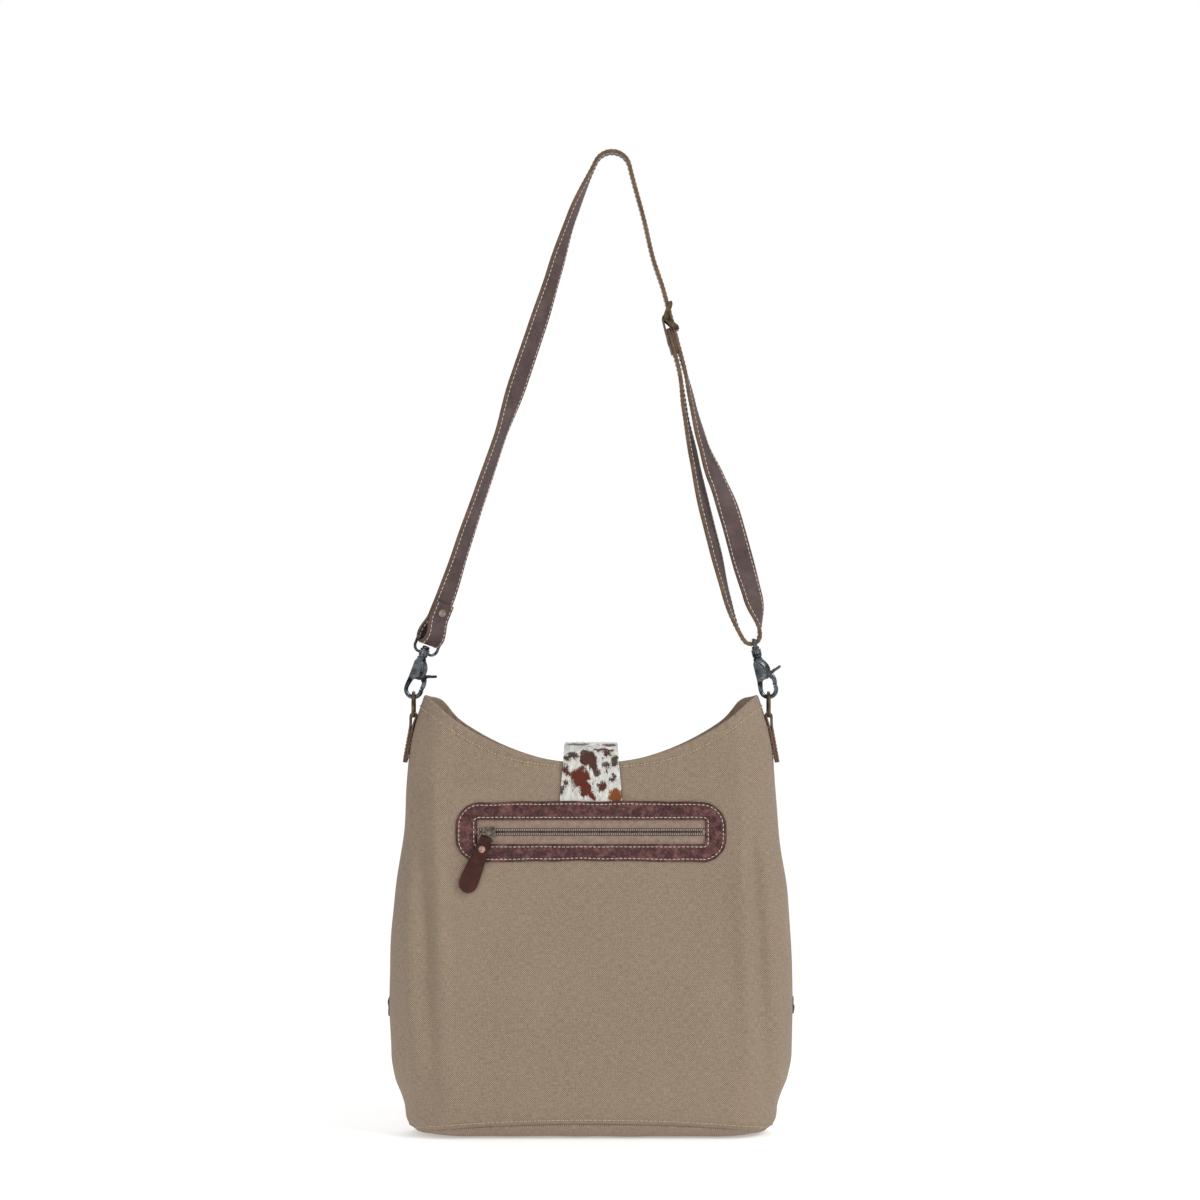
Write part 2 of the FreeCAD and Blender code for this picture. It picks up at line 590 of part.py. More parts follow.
# ---------------------------------------------------------------------------------------------------
# Closure tab and magnet
# ---------------------------------------------------------------------------------------------------
def make_tab_base():
    """The tab's sewn part: hide that rises from under the zip frame to the hinge line."""
    body = new_body("closure_tab_base")
    face = new_sketch(body, "XZ_Plane", "tab_base_outline", "waist_half_depth + 0.05")
    top = "tab_hinge - 1.8"
    outline(face, [("-tab_root_half", "tab_low"), ("tab_root_half", "tab_low"), ("tab_hinge_half + 0.1", top),
                   ("-tab_hinge_half - 0.1", top)])
    pad(body, face, "tab_stand")


def tab_line(off):
    """The flap's line from hinge over mouth and down the front, at a stand-off from its inner face."""
    top = f"tab_arch - hide - backing + ({off})"
    rear = f"-(waist_half_depth + 0.2 + ({off}))"
    front = f"waist_half_depth + tab_front_gap + ({off})"
    return [(rear, "tab_hinge + 0.2"), (rear, f"tab_hinge + 2.2 + 0.3*({off})"),
            (f"-24.6 - 0.6*({off})", f"{top} - 4"), (f"-11.4 - 0.3*({off})", f"{top} - 0.8"),
            ("4", top), (f"17.4 + 0.3*({off})", f"{top} - 0.8"),
            (f"30.6 + 0.6*({off})", f"{top} - 4.5"), (front, f"tab_hinge - 1.8 + 0.3*({off})"),
            (front, "tab_end")]


def tab_profile(sketch, inside, outside):
    """The flap's section between two stand-offs."""
    outline(sketch, tab_line(outside) + tab_line(inside)[::-1])


def make_tab():
    """The flap: hide outside and leather backing inside, narrowing from the hinge to the front."""
    layers = (("closure_tab", "backing", "backing + hide"), ("closure_tab_backing", "0", "backing"))
    for label, inside, outside in layers:
        body = new_body(label)
        band = new_sketch(body, "YZ_Plane", f"{label}_band")
        tab_profile(band, inside, outside)
        pad(body, band, "2*tab_hinge_half", both_ways=True)
        for side in ("1", "-1"):
            trim = new_sketch(body, "XY_Plane", f"{label}_trim_{'right' if side == '1' else 'left'}")
            near, far = "-waist_half_depth - 5", "waist_half_depth + 12"
            outline(trim, [(f"{side}*tab_hinge_half", near), (f"{side}*tab_front_half", far),
                           (f"{side}*60", far), (f"{side}*60", near)])
            pocket(body, trim, "400", both_ways=False, backwards=True)


def disc(body, name, radius, low, high):
    """A level disc on the magnet's axis, between two distances in front of the purse's middle."""
    face = new_sketch(body, "XZ_Plane", name, f"-({high})")
    circle(face, radius, "0", "magnet_height")
    pad(body, face, f"({high}) - ({low})")


def make_magnet():
    """Stud on the tab, socket on the yoke with its post through the front, and the washer behind."""
    stud = new_body("magnet_stud")
    flap_face = "waist_half_depth + tab_front_gap"
    stud_face = f"{flap_face} - magnet_stud"
    disc(stud, "stud_disc", "magnet_radius", stud_face, flap_face)
    disc(stud, "stud_nose", "nose_radius", f"{stud_face} - nose_rise", stud_face)
    socket = new_body("magnet_socket")
    yoke_face = "waist_half_depth + yoke_thickness"
    disc(socket, "socket_disc", "magnet_radius", yoke_face, f"{yoke_face} + magnet_socket")
    disc(socket, "socket_post", "magnet_post", "waist_half_depth - canvas - washer - 0.6", yoke_face)
    nose = new_sketch(socket, "XZ_Plane", "socket_hollow", f"-({yoke_face} + magnet_socket)")
    circle(nose, "well_radius", "0", "magnet_height")
    pocket(socket, nose, "well_depth", both_ways=False, backwards=True)
    ring = new_body("magnet_washer")
    inside = "waist_half_depth - canvas"
    disc(ring, "washer_disc", "washer_radius", f"{inside} - washer", inside)
    hole = new_sketch(ring, "XZ_Plane", "washer_hole")
    circle(hole, "magnet_post", "0", "magnet_height")
    pocket(ring, hole, "200")


# ---------------------------------------------------------------------------------------------------
# Side tabs and D-rings
# ---------------------------------------------------------------------------------------------------
def make_side(side):
    """The leather tab on one side seam and the D-ring that it holds."""
    sign = -1 if side == "left" else 1
    tab = new_body(f"{side}_side_tab")
    bore = "ring_wire + running_gap"
    loop = new_sketch(tab, "XZ_Plane", f"{side}_tab_loop")
    circle(loop, f"{bore} + side_tab_leather")
    pad(tab, loop, "side_tab_width", both_ways=True)
    tail = new_sketch(tab, "XZ_Plane", f"{side}_tab_tail")
    rectangle(tail, "-side_tab_leather", "side_tab_leather", "-side_tab_length", "-1")
    pad(tab, tail, "side_tab_width", both_ways=True)
    hole = new_sketch(tab, "XZ_Plane", f"{side}_tab_bore")
    circle(hole, bore)
    pocket(tab, hole, "100")
    at = V(sign * size("ring_place"), 0, size("ring_bar_height"))
    place(tab, at, FreeCAD.Rotation(V(0, 1, 0), -sign * size("side_tab_slope")))

    ring = new_body(f"{side}_ring")
    path = new_sketch(ring, "YZ_Plane", f"{side}_ring_path")
    reach = size("ring_half") - size("ring_bend")
    half, bend, rise = size("ring_half"), size("ring_bend"), size("ring_side")
    marks = [path.addGeometry(Part.LineSegment(V(0, 0, 0), V(reach, 0, 0))),
             arc(path, "ring_bend", "ring_half - ring_bend", "ring_bend", -90, 0),
             path.addGeometry(Part.LineSegment(V(half, bend, 0), V(half, rise, 0))),
             arc(path, "ring_half", "0", "ring_side", 0, 180),
             path.addGeometry(Part.LineSegment(V(-half, rise, 0), V(-half, bend, 0))),
             arc(path, "ring_bend", "-ring_half + ring_bend", "ring_bend", 180, 270),
             path.addGeometry(Part.LineSegment(V(-reach, 0, 0), V(0, 0, 0)))]
    for before, after in zip(marks, marks[1:] + marks[:1]):
        path.addConstraint(Sketcher.Constraint("Coincident", before, 2, after, 1))
    pin_point(path, marks[0], 1, "0", "0")
    pin_point(path, marks[0], 2, "ring_half - ring_bend", "0")
    pin_point(path, marks[1], 3, "ring_half - ring_bend", "ring_bend")
    pin(path, "DistanceY", marks[2], 1, "ring_bend")
    pin_point(path, marks[2], 2, "ring_half", "ring_side")
    pin_point(path, marks[3], 3, "0", "ring_side")
    pin(path, "DistanceY", marks[4], 1, "ring_side")
    pin_point(path, marks[4], 2, "-ring_half", "ring_bend")
    pin_point(path, marks[5], 3, "-ring_half + ring_bend", "ring_bend")
    pin(path, "DistanceX", marks[6], 1, "-ring_half + ring_bend")
    wire = new_sketch(ring, "XZ_Plane", f"{side}_ring_wire")
    circle(wire, "ring_wire")
    pipe(ring, path, wire)
    place(ring, at)


# ---------------------------------------------------------------------------------------------------
# Snap hooks: drawn about the middle of the claw, then turned to the strap's pull
# ---------------------------------------------------------------------------------------------------
def hook_middle(side):
    """The middle of one hook's claw, above the top of the ring's arc."""
    sign = -1 if side == "left" else 1
    arc_top = size("ring_bar_height") + size("ring_side") + size("ring_half")
    below = size("ring_wire") + size("claw_slack") + size("claw_wire")
    return V(sign * size("ring_place"), 0, arc_top - below + size("claw_middle"))


def hook_turn(side):
    """The lean of one hook in the purse's plane."""
    return FreeCAD.Rotation(V(0, 1, 0), size(f"{side}_lean"))


def make_hook_frame(side):
    """Claw, spine and barrel with its headed neck, in one casting."""
    body = new_body(f"{side}_hook")
    plate = new_sketch(body, "XZ_Plane", f"{side}_hook_plate")
    outline(plate, [("spine_back", "0"), ("spine_front", "0"), ("spine_front + 0.6", "hook_throat - 3"),
                    ("-2.4", "hook_throat"), ("2", "hook_throat + 0.6"), ("hook_front", "hook_throat + 4"),
                    ("hook_front + 0.6", "pivot_height"), ("2.2", "hook_top - 3.5"), ("0.2", "hook_top"),
                    ("spine_back + 1.4", "hook_top"), ("spine_back", "hook_top - 4")])
    pad(body, plate, "hook_thick", both_ways=True)
    claw = new_sketch(body, "XZ_Plane", f"{side}_claw_path")
    bend = arc(claw, "claw_middle", "0", "0", 180, 385)
    pin_point(claw, bend, 3, "0", "0")
    pin(claw, "DistanceY", bend, 1, "0")
    pin(claw, "DistanceY", bend, 2, "claw_tip")
    limit = claw.addConstraint(Sketcher.Constraint("Radius", bend, size("claw_middle")))
    bind(claw, f"Constraints[{limit}]", "claw_middle")
    section = new_sketch(body, "XY_Plane", f"{side}_claw_section")
    circle(section, "claw_wire", "-claw_middle", "0")
    pipe(body, claw, section)
    barrel = new_sketch(body, "XZ_Plane", f"{side}_barrel")
    low, high = "hook_top - 1", "barrel_top"
    head_low = "collar_top + running_gap"
    outline(barrel, [("0", low), ("barrel_radius", low), ("barrel_radius", f"{high} - 1"),
                     ("barrel_radius - 1", high), ("neck_radius", high), ("neck_radius", head_low),
                     ("neck_head_radius", head_low), ("neck_head_radius", "neck_head_top"),
                     ("0", "neck_head_top")])
    shift_sketch(barrel)
    revolve(body, barrel)
    room = new_sketch(body, "XZ_Plane", f"{side}_gate_room")
    outline(room, [("-2.8", "hook_throat - 1"), ("12", "hook_throat - 1"), ("12", "pivot_height + 4.4"),
                   ("-2.8", "pivot_height + 4.4")])
    pocket(body, room, "hook_slot")
    hole = new_sketch(body, "XZ_Plane", f"{side}_pin_hole")
    circle(hole, "pin_radius", "pivot_place", "pivot_height")
    pocket(body, hole, "20")
    place(body, hook_middle(side), hook_turn(side))


def shift_sketch(sketch):
    """Moves a turned outline's axis sideways onto the hook's stem."""
    bind(sketch, "AttachmentOffset.Base.x", "stem_place")


def make_eye(side):
    """The strap's eye: a D-shaped wire whose foot turns on the hook's neck."""
    body = new_body(f"{side}_hook_eye")
    path = new_sketch(body, "XZ_Plane", f"{side}_eye_path")
    half, bend, top = size("eye_half"), size("eye_bend"), size("eye_bar")
    low = size("barrel_top") + size("running_gap") + size("eye_wire") + 0.7
    foot = size("collar_top") - size("barrel_top")
    start = V(size("barrel_radius") - 1, low, 0)
    knee = V(half - 2, low + 0.6, 0)
    corner = V(half, low + foot, 0)
    shoulder = V(half, top - bend, 0)
    marks = [path.addGeometry(Part.Arc(start, knee, corner)),
             path.addGeometry(Part.LineSegment(corner, shoulder)),
             path.addGeometry(Part.ArcOfCircle(Part.Circle(V(half - bend, top - bend, 0), V(0, 0, 1), bend),
                                               0, math.pi / 2)),
             path.addGeometry(Part.LineSegment(V(half - bend, top, 0), V(-half + bend, top, 0))),
             path.addGeometry(Part.ArcOfCircle(Part.Circle(V(-half + bend, top - bend, 0), V(0, 0, 1), bend),
                                               math.pi / 2, math.pi)),
             path.addGeometry(Part.LineSegment(V(-half, top - bend, 0), V(-half, low + foot, 0))),
             path.addGeometry(Part.Arc(V(-half, low + foot, 0), V(-knee.x, knee.y, 0), V(-start.x, low, 0)))]
    for mark in marks:
        path.addConstraint(Sketcher.Constraint("Block", mark))
    wire = new_sketch(body, "YZ_Plane", f"{side}_eye_wire")
    bind(wire, "AttachmentOffset.Base.z", "barrel_radius - 1")
    circle(wire, "eye_wire", "0", f"{low}")
    pipe(body, path, wire)
    foot_ring = new_sketch(body, "XY_Plane", f"{side}_eye_foot", "barrel_top + running_gap/2")
    circle(foot_ring, "barrel_radius")
    pad(body, foot_ring, "collar_top - barrel_top")
    bore = new_sketch(body, "XY_Plane", f"{side}_eye_bore")
    circle(bore, "neck_radius + eye_play")
    pocket(body, bore, "100", both_ways=False, backwards=True)
    turn = hook_turn(side)
    at = hook_middle(side) + turn.multVec(V(size("stem_place"), 0, 0))
    yaw = size("left_turn") if side == "left" else 0
    place(body, at, turn.multiply(FreeCAD.Rotation(V(0, 0, 1), 90 - yaw)))


def make_gate(side):
    """The sprung gate with its thumb lever, the pin that it turns on and its coil spring."""
    body = new_body(f"{side}_hook_gate")
    arm = new_sketch(body, "XZ_Plane", f"{side}_gate_arm")
    outline(arm, [("pivot_place - 1.5", "pivot_height - 2.4"), ("4.6", "3.5"), ("6", "4.8"), ("6.6", "12.5"),
                  ("9", "lever_height - 2.6"), ("lever_place - 1", "lever_height - 1"),
                  ("lever_place", "lever_height + 1.4"), ("lever_place - 2.4", "lever_height + 1"),
                  ("7", "lever_height + 0.2"),
                  ("pivot_place + 1.5", "pivot_height + 2.4")])
    pad(body, arm, "gate_thick", both_ways=True)
    hub = new_sketch(body, "XZ_Plane", f"{side}_gate_hub")
    circle(hub, "gate_hub", "pivot_place", "pivot_height")
    pad(body, hub, "gate_thick", both_ways=True)
    bore = new_sketch(body, "XZ_Plane", f"{side}_gate_bore")
    circle(bore, "pin_radius + eye_play", "pivot_place", "pivot_height")
    pocket(body, bore, "20")
    seat = new_sketch(body, "XZ_Plane", f"{side}_spring_seat", "-gate_thick/2")
    circle(seat, "spring_radius + spring_wire/2 + 0.15", "pivot_place", "pivot_height")
    pocket(body, seat, "spring_seat", both_ways=False, backwards=True)
    place(body, hook_middle(side), hook_turn(side))
    pin_body = new_body(f"{side}_hook_pin")
    shank = new_sketch(pin_body, "XZ_Plane", f"{side}_pin")
    circle(shank, "pin_radius", "pivot_place", "pivot_height")
    pad(pin_body, shank, "hook_thick + 0.4", both_ways=True)
    place(pin_body, hook_middle(side), hook_turn(side))
    make_spring(side)


def make_spring(side):
    """The gate's coil spring, wound from square wire in the gate's seat round the pin."""
    radius, half = size("spring_radius"), size("spring_wire") / 2
    coil = Part.makeHelix(size("spring_pitch"), size("spring_length"), radius)
    tall = half * 0.9
    corners = [V(radius - half, 0, -tall), V(radius + half, 0, -tall), V(radius + half, 0, tall),
               V(radius - half, 0, tall)]
    section = Part.makePolygon(corners + corners[:1])
    spring = piece(f"{side}_hook_spring", doc.addObject("Part::Feature", f"{side}_hook_spring"))
    spring.Shape = Part.Wire(coil.Edges).makePipeShell([section], True, True)
    floor = size("gate_thick") / 2 - size("spring_seat")
    turn = hook_turn(side)
    seat_at = V(size("pivot_place"), floor + tall + TINY, size("pivot_height"))
    place(spring, hook_middle(side) + turn.multVec(seat_at), turn.multiply(FreeCAD.Rotation(V(1, 0, 0), -90)))


# ---------------------------------------------------------------------------------------------------
# Strap: a band whose middle line lies in the purse's plane and which turns about that line
# ---------------------------------------------------------------------------------------------------
def eye_point(side):
    """The middle of the eye's top bar."""
    turn = hook_turn(side)
    return hook_middle(side) + turn.multVec(V(size("stem_place"), 0, size("eye_bar")))


def heading(degrees):
    """The unit direction in the purse's plane at that angle from upright, positive to the right."""
    return V(math.sin(math.radians(degrees)), 0, math.cos(math.radians(degrees)))


def outward(travel):
    """The unit direction square to the travel, on the outer side of the strap's loop."""
    return V(-travel.z, 0, travel.x)


def section_wire(at, travel, turn):
    """The strap's section at a point: a rectangle square to its travel, turned by some degrees."""
    travel = V(travel).normalize()
    normal = outward(travel) * math.cos(math.radians(turn)) - V(0, 1, 0) * math.sin(math.radians(turn))
    across = travel.cross(normal)
    up, side = normal * (size("strap_thick") / 2), across * (size("strap_width") / 2)
    corners = [at + up + side, at + up - side, at - up - side, at - up + side]
    return Part.makePolygon(corners + corners[:1])


def smooth_line(start, start_way, finish, finish_way, between):
    """A curve from one point and direction to another, through points given as (x, z)."""
    curve = Part.BSplineCurve()
    middle = [V(across, 0, height) for across, height in between]
    curve.interpolate(Points=[start] + middle + [finish], InitialTangent=start_way, FinalTangent=finish_way)
    return curve


def band(curve, turns, count):
    """A lofted length of strap along a curve, its turn given at even steps along the way."""
    first, last = curve.FirstParameter, curve.LastParameter
    wires = []
    for index in range(count + 1):
        share = index / count
        spot = first + share * (last - first)
        place_in_turns = share * (len(turns) - 1)
        before = min(int(place_in_turns), len(turns) - 2)
        part = place_in_turns - before
        part = part * part * (3 - 2 * part)
        turn = turns[before] + (turns[before + 1] - turns[before]) * part
        wires.append(section_wire(curve.value(spot), curve.tangent(spot)[0], turn))
    return Part.makeLoft(wires, True, True)


def bend_band(middle, inner, start, finish):
    """A strap length bent round a level axis, between two directions in degrees from +X towards +Z."""
    outer = inner + size("strap_thick")
    points = []
    for radius, first, last in ((inner, start, finish), (outer, finish, start)):
        angles = [math.radians(angle) for angle in (first, (first + last) / 2, last)]
        points.append([V(radius * math.cos(angle), 0, radius * math.sin(angle)) for angle in angles])
    inside, outside = (Part.Arc(*trio).toShape() for trio in points)
    sides = [Part.makeLine(points[0][2], points[1][0]), Part.makeLine(points[1][2], points[0][0])]
    face = Part.Face(Part.Wire([inside, sides[0], outside, sides[1]]))
    width = size("strap_width")
    face.translate(V(0, -width / 2, 0))
    solid = face.extrude(V(0, width, 0))
    solid.translate(middle)
    return solid


def left_fold_frame():
    """Placement of the left fold: its Y axis lies along the eye's bar and its Z axis along the hook."""
    yaw = size("left_turn")
    turn = hook_turn("left").multiply(FreeCAD.Rotation(V(0, 0, 1), -yaw))
    return FreeCAD.Placement(eye_point("left"), turn)


# Points (x, z) that each hanging strand passes, and its turns in degrees at even steps along the way
LEFT_POINTS = [(-120, 525), (-91, 610), (-65, 687), (-37, 772), (-16, 838)]
LEFT_TURNS = [125, 141, 149, 154, 127, 130, 144, 161, 180]
UPPER_POINTS = [(49.5, 825), (58, 790)]
OUTER_POINTS = [(95, 652), (107, 612), (122, 575), (137, 524), (148, 485)]
OUTER_TURNS = [0, 12, 24, 50, 78, 84, 60, 0]
INNER_POINTS = [(126, 478), (115, 522), (102, 574), (92, 622), (84, 666)]
INNER_TURNS = [0, -16, -28, -28, -20, -8, 0]


def left_fold():
    """The left fold in its own frame: two legs pinched together by the rivet, open round the eye's bar."""
    thick, width, length = size("strap_thick"), size("strap_width"), size("fold_length")
    radius, pinch = size("fold_round"), size("fold_pinch")
    lift = radius - size("eye_wire") - size("loop_play")
    near = size("fold_gap") + thick / 2
    down = V(0, 0, -1)
    shapes = []
    for side in (-1, 1):
        corner = V(side * near - thick / 2, -width / 2, pinch)
        shapes.append(Part.makeBox(thick, width, length - pinch, corner))
        flare = smooth_line(V(side * near, 0, pinch), down, V(side * (radius + thick / 2), 0, lift), down, [])
        shapes.append(band(flare, [0, 0], 10))
    fold = bend_band(V(0, 0, lift), radius, 180, 360).fuse(shapes)
    hole = Part.makeCylinder(size("strap_rivet_shank"), 30, V(-15, 0, size("fold_rivet_drop")), V(1, 0, 0))
    return fold.cut(hole)


def loop_rest():
    """The middle of the strap's round on the right eye, whose bar lies against the round's inside."""
    reach = size("loop_round") - size("eye_wire") - size("loop_play")
    shift = size("loop_shift")
    return eye_point("right") + V(shift, 0, math.sqrt(reach ** 2 - shift ** 2))


def make_strap():
    """The strap from its riveted left fold over the peg, through the adjuster and round the right eye."""
    thick = size("strap_thick")
    frame = left_fold_frame()
    fold = left_fold()
    fold.Placement = frame

    peg = V(size("peg_place"), 0, size("peg_height"))
    radius = size("peg_radius") + thick / 2
    left_way, right_way = heading(size("left_leave")), -heading(-size("right_leave"))
    crest = bend_band(peg, size("peg_radius"), size("right_leave"), 180 - size("left_leave"))

    start = frame.multVec(V(-size("fold_gap") - thick / 2, 0, size("fold_length")))
    start_way = hook_turn("left").multVec(V(0, 0, 1))
    top_left = peg + outward(left_way) * radius
    left = smooth_line(start, start_way * 500, top_left, left_way * 300, LEFT_POINTS)
    left_band = band(left, LEFT_TURNS, 24)

    slide_way = -heading(-size("buckle_lean"))
    slide_middle = V(size("buckle_place"), 0, size("buckle_height"))
    slide_top = slide_middle - slide_way * size("straight_above")
    slide_low = slide_middle + slide_way * size("straight_below")
    top_right = peg + outward(right_way) * radius
    upper = smooth_line(top_right, right_way * 120, slide_top, slide_way * 120, UPPER_POINTS)
    upper_band = band(upper, [0, 0], 8)
    straight_ends = [section_wire(spot, slide_way, 0) for spot in (slide_top, slide_low)]
    straight_band = Part.makeLoft(straight_ends, True, True)

    rest = loop_rest()
    loop = bend_band(rest, size("loop_round"), -180 + size("loop_leave"), 0)
    loop_radius = size("loop_round") + thick / 2
    outer_start = rest + V(loop_radius, 0, 0)
    outer = smooth_line(slide_low, slide_way * 300, outer_start, V(0, 0, -300), OUTER_POINTS)
    outer_band = band(outer, OUTER_TURNS, 24)

    inner_way = heading(-size("loop_leave"))
    inner_start = rest + outward(inner_way) * loop_radius
    fold_middle = buckle_bar_point()
    tail_low = fold_middle + slide_way * size("tail_end")
    tail_high = fold_middle + slide_way * size("tail_start")
    inner = smooth_line(inner_start, inner_way * 200, tail_low, slide_way * -260, INNER_POINTS)
    inner_band = band(inner, INNER_TURNS, 20)
    tail_band = Part.makeLoft([section_wire(tail_low, -slide_way, 0), section_wire(tail_high, -slide_way, 0)],
                              True, True)
    slot_length = 2 * (size("buckle_travel") + size("buckle_rivet_radius") + 0.3)
    slot = Part.makeBox(30, 2 * size("buckle_rivet_radius") + 0.6, slot_length,
                        V(-15, -size("buckle_rivet_radius") - 0.3, -slot_length / 2))
    slot.Placement = FreeCAD.Placement(fold_middle + slide_way * size("buckle_rivet_drop"),
                                       FreeCAD.Rotation(V(0, 0, -1), slide_way)).multiply(slot.Placement)
    tail_band = tail_band.cut(slot)

    strap = piece("strap", doc.addObject("Part::Feature", "strap"))
    bands = [left_band, crest, upper_band, straight_band, outer_band, loop, inner_band, tail_band]
    strap.Shape = fold.fuse(bands)
    make_strap_rivet(frame)


def make_strap_rivet(frame):
    """The rivet that closes the strap's left fold: a shank between two caps."""
    reach = "fold_gap + strap_thick"
    rivet = new_body("strap_end_rivet")
    for name, radius, low, high in (("shank", "strap_rivet_shank", f"-({reach})", reach),
                                    ("face", "strap_rivet_radius", reach, f"{reach} + 0.8"),
                                    ("rear", "strap_rivet_radius", f"-({reach}) - 0.8", f"-({reach})")):
        flat = new_sketch(rivet, "YZ_Plane", f"strap_rivet_{name}", low)
        circle(flat, radius, "0", "fold_rivet_drop")
        pad(rivet, flat, f"({high}) - ({low})")
    rivet.Placement = frame


def buckle_bar_offset():
    """How far the adjuster's middle bar stands inside the strap's middle line."""
    return size("strap_thick") / 2 + size("buckle_clear") + size("buckle_fold") + tail_half()


def tail_half():
    """Half the room that the folded end leaves for the strap's tail."""
    return size("strap_thick") / 2 + 0.2


def buckle_frame():
    """Placement of the adjuster: X outwards from the strap's loop, Y across it and Z up along it."""
    way = heading(-size("buckle_lean"))
    outside = V(way.z, 0, -way.x)
    turn = FreeCAD.Rotation(outside, V(0, 1, 0), way, "ZXY")
    return FreeCAD.Placement(V(size("buckle_place"), 0, size("buckle_height")), turn)


def buckle_bar_point():
    """The middle of the adjuster's middle bar."""
    return buckle_frame().multVec(V(-buckle_bar_offset(), 0, 0))


def make_adjuster():
    """The sliding adjuster: a bowed three-bar frame, the strap's folded end on its middle bar, a rivet."""
    bar = "-(strap_thick + buckle_clear + buckle_fold + 0.2)"
    rail = "strap_thick/2 + buckle_clear + buckle_wire"
    body = new_body("strap_adjuster")
    reach = "strap_width/2 + buckle_side_gap"
    for name, offset in (("near", f"-({reach}) - buckle_plate"), ("far", reach)):
        arm = new_sketch(body, "XZ_Plane", f"adjuster_{name}", offset)
        edge, tall = f"{rail} + buckle_wire", "buckle_half + buckle_wire"
        outline(arm, [(f"{bar} - buckle_wire", "-2.6"), ("1", f"-({tall})"), (edge, f"-({tall})"),
                      (edge, "-buckle_half + 2"), (f"{bar} + 2.4", "0"), (edge, "buckle_half - 2"),
                      (edge, tall), ("1", tall), (f"{bar} - buckle_wire", "2.6")])
        pad(body, arm, "buckle_plate")
    bars = (("low", rail, "-buckle_half"), ("high", rail, "buckle_half"), ("middle", bar, "0"))
    for name, across, up in bars:
        rod = new_sketch(body, "XZ_Plane", f"adjuster_bar_{name}")
        circle(rod, "buckle_wire", across, up)
        pad(body, rod, f"2*({reach}) + 1", both_ways=True)
    body.Placement = buckle_frame()
    fold = new_body("strap_adjuster_fold")
    room = "strap_thick/2 + 0.2"
    ring = new_sketch(fold, "XZ_Plane", "adjuster_fold_ring")
    circle(ring, f"{room} + buckle_fold", bar, "0")
    pad(fold, ring, "strap_width", both_ways=True)
    legs = new_sketch(fold, "XZ_Plane", "adjuster_fold_legs")
    rectangle(legs, f"{bar} - ({room}) - buckle_fold", f"{bar} + {room} + buckle_fold",
              "-buckle_fold_length", "0")
    pad(fold, legs, "strap_width", both_ways=True)
    gap = new_sketch(fold, "XZ_Plane", "adjuster_fold_gap")
    rectangle(gap, f"{bar} - ({room})", f"{bar} + {room}", "-buckle_fold_length - 5", "0")
    pocket(fold, gap, "60")
    bore = new_sketch(fold, "XZ_Plane", "adjuster_fold_bore")
    circle(bore, room, bar, "0")
    pocket(fold, bore, "60")
    hole = new_sketch(fold, "YZ_Plane", "adjuster_fold_hole")
    circle(hole, "buckle_rivet_radius", "0", "-buckle_rivet_drop")
    pocket(fold, hole, "60")
    fold.Placement = buckle_frame()
    rivet = new_body("adjuster_rivet")
    shank = new_sketch(rivet, "YZ_Plane", "adjuster_rivet_shank", f"{bar} - ({room}) - buckle_fold")
    circle(shank, "buckle_rivet_radius", "0", "-buckle_rivet_drop")
    pad(rivet, shank, f"2*({room} + buckle_fold)")
    cap = new_sketch(rivet, "YZ_Plane", "adjuster_rivet_cap", f"{bar} - ({room}) - buckle_fold - 0.7")
    circle(cap, "buckle_rivet_radius + 1.4", "0", "-buckle_rivet_drop")
    pad(rivet, cap, "0.7")
    rivet.Placement = buckle_frame()


# ---------------------------------------------------------------------------------------------------
# The whole purse, checked and written out
# ---------------------------------------------------------------------------------------------------
make_canvas()
make_lining()
make_zip_pocket()
make_front_trim()
make_zip_frame()
make_zip_tapes()
make_zip_teeth()
make_zip_stops()
make_zip_slider()
make_zip_link()
make_zip_pull()
make_tab_base()
make_tab()
make_magnet()
for hand in ("left", "right"):
    make_side(hand)
    make_hook_frame(hand)
    make_eye(hand)
    make_gate(hand)
make_strap()
make_adjuster()
doc.recompute()

for item in doc.Objects:
    if "Invalid" in item.State or "Error" in item.State:
        raise RuntimeError(f"{item.Label} did not rebuild: {item.State}")
for item in PIECES:
    if item.Shape.isNull() or not item.Shape.isValid() or not item.Shape.Solids:
        raise RuntimeError(f"{item.Label} has no sound solid")

os.makedirs("parts", exist_ok=True)
for item in PIECES:
    item.Shape.exportStep(os.path.join("parts", f"{item.Label}.step"))
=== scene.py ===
import contextlib
import math

import bmesh
import bpy
import numpy as np
from mathutils import Matrix, Vector, noise


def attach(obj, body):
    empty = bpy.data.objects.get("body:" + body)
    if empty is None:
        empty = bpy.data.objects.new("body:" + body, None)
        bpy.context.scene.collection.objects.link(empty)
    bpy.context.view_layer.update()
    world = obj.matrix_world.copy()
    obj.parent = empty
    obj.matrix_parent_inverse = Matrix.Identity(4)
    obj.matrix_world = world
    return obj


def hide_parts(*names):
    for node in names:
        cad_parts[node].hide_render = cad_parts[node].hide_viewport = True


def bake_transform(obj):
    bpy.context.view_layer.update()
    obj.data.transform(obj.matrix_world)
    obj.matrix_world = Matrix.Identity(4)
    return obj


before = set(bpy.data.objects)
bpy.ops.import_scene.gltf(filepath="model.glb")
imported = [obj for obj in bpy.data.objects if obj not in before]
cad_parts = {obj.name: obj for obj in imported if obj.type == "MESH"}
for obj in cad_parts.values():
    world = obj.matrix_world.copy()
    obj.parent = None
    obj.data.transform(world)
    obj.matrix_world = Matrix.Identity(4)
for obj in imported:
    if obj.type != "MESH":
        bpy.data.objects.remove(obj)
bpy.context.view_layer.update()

MM = 0.001
HANDS = ("left", "right")
TO_RIGHT, TO_BACK, UPWARD = Vector((1, 0, 0)), Vector((0, 1, 0)), Vector((0, 0, 1))

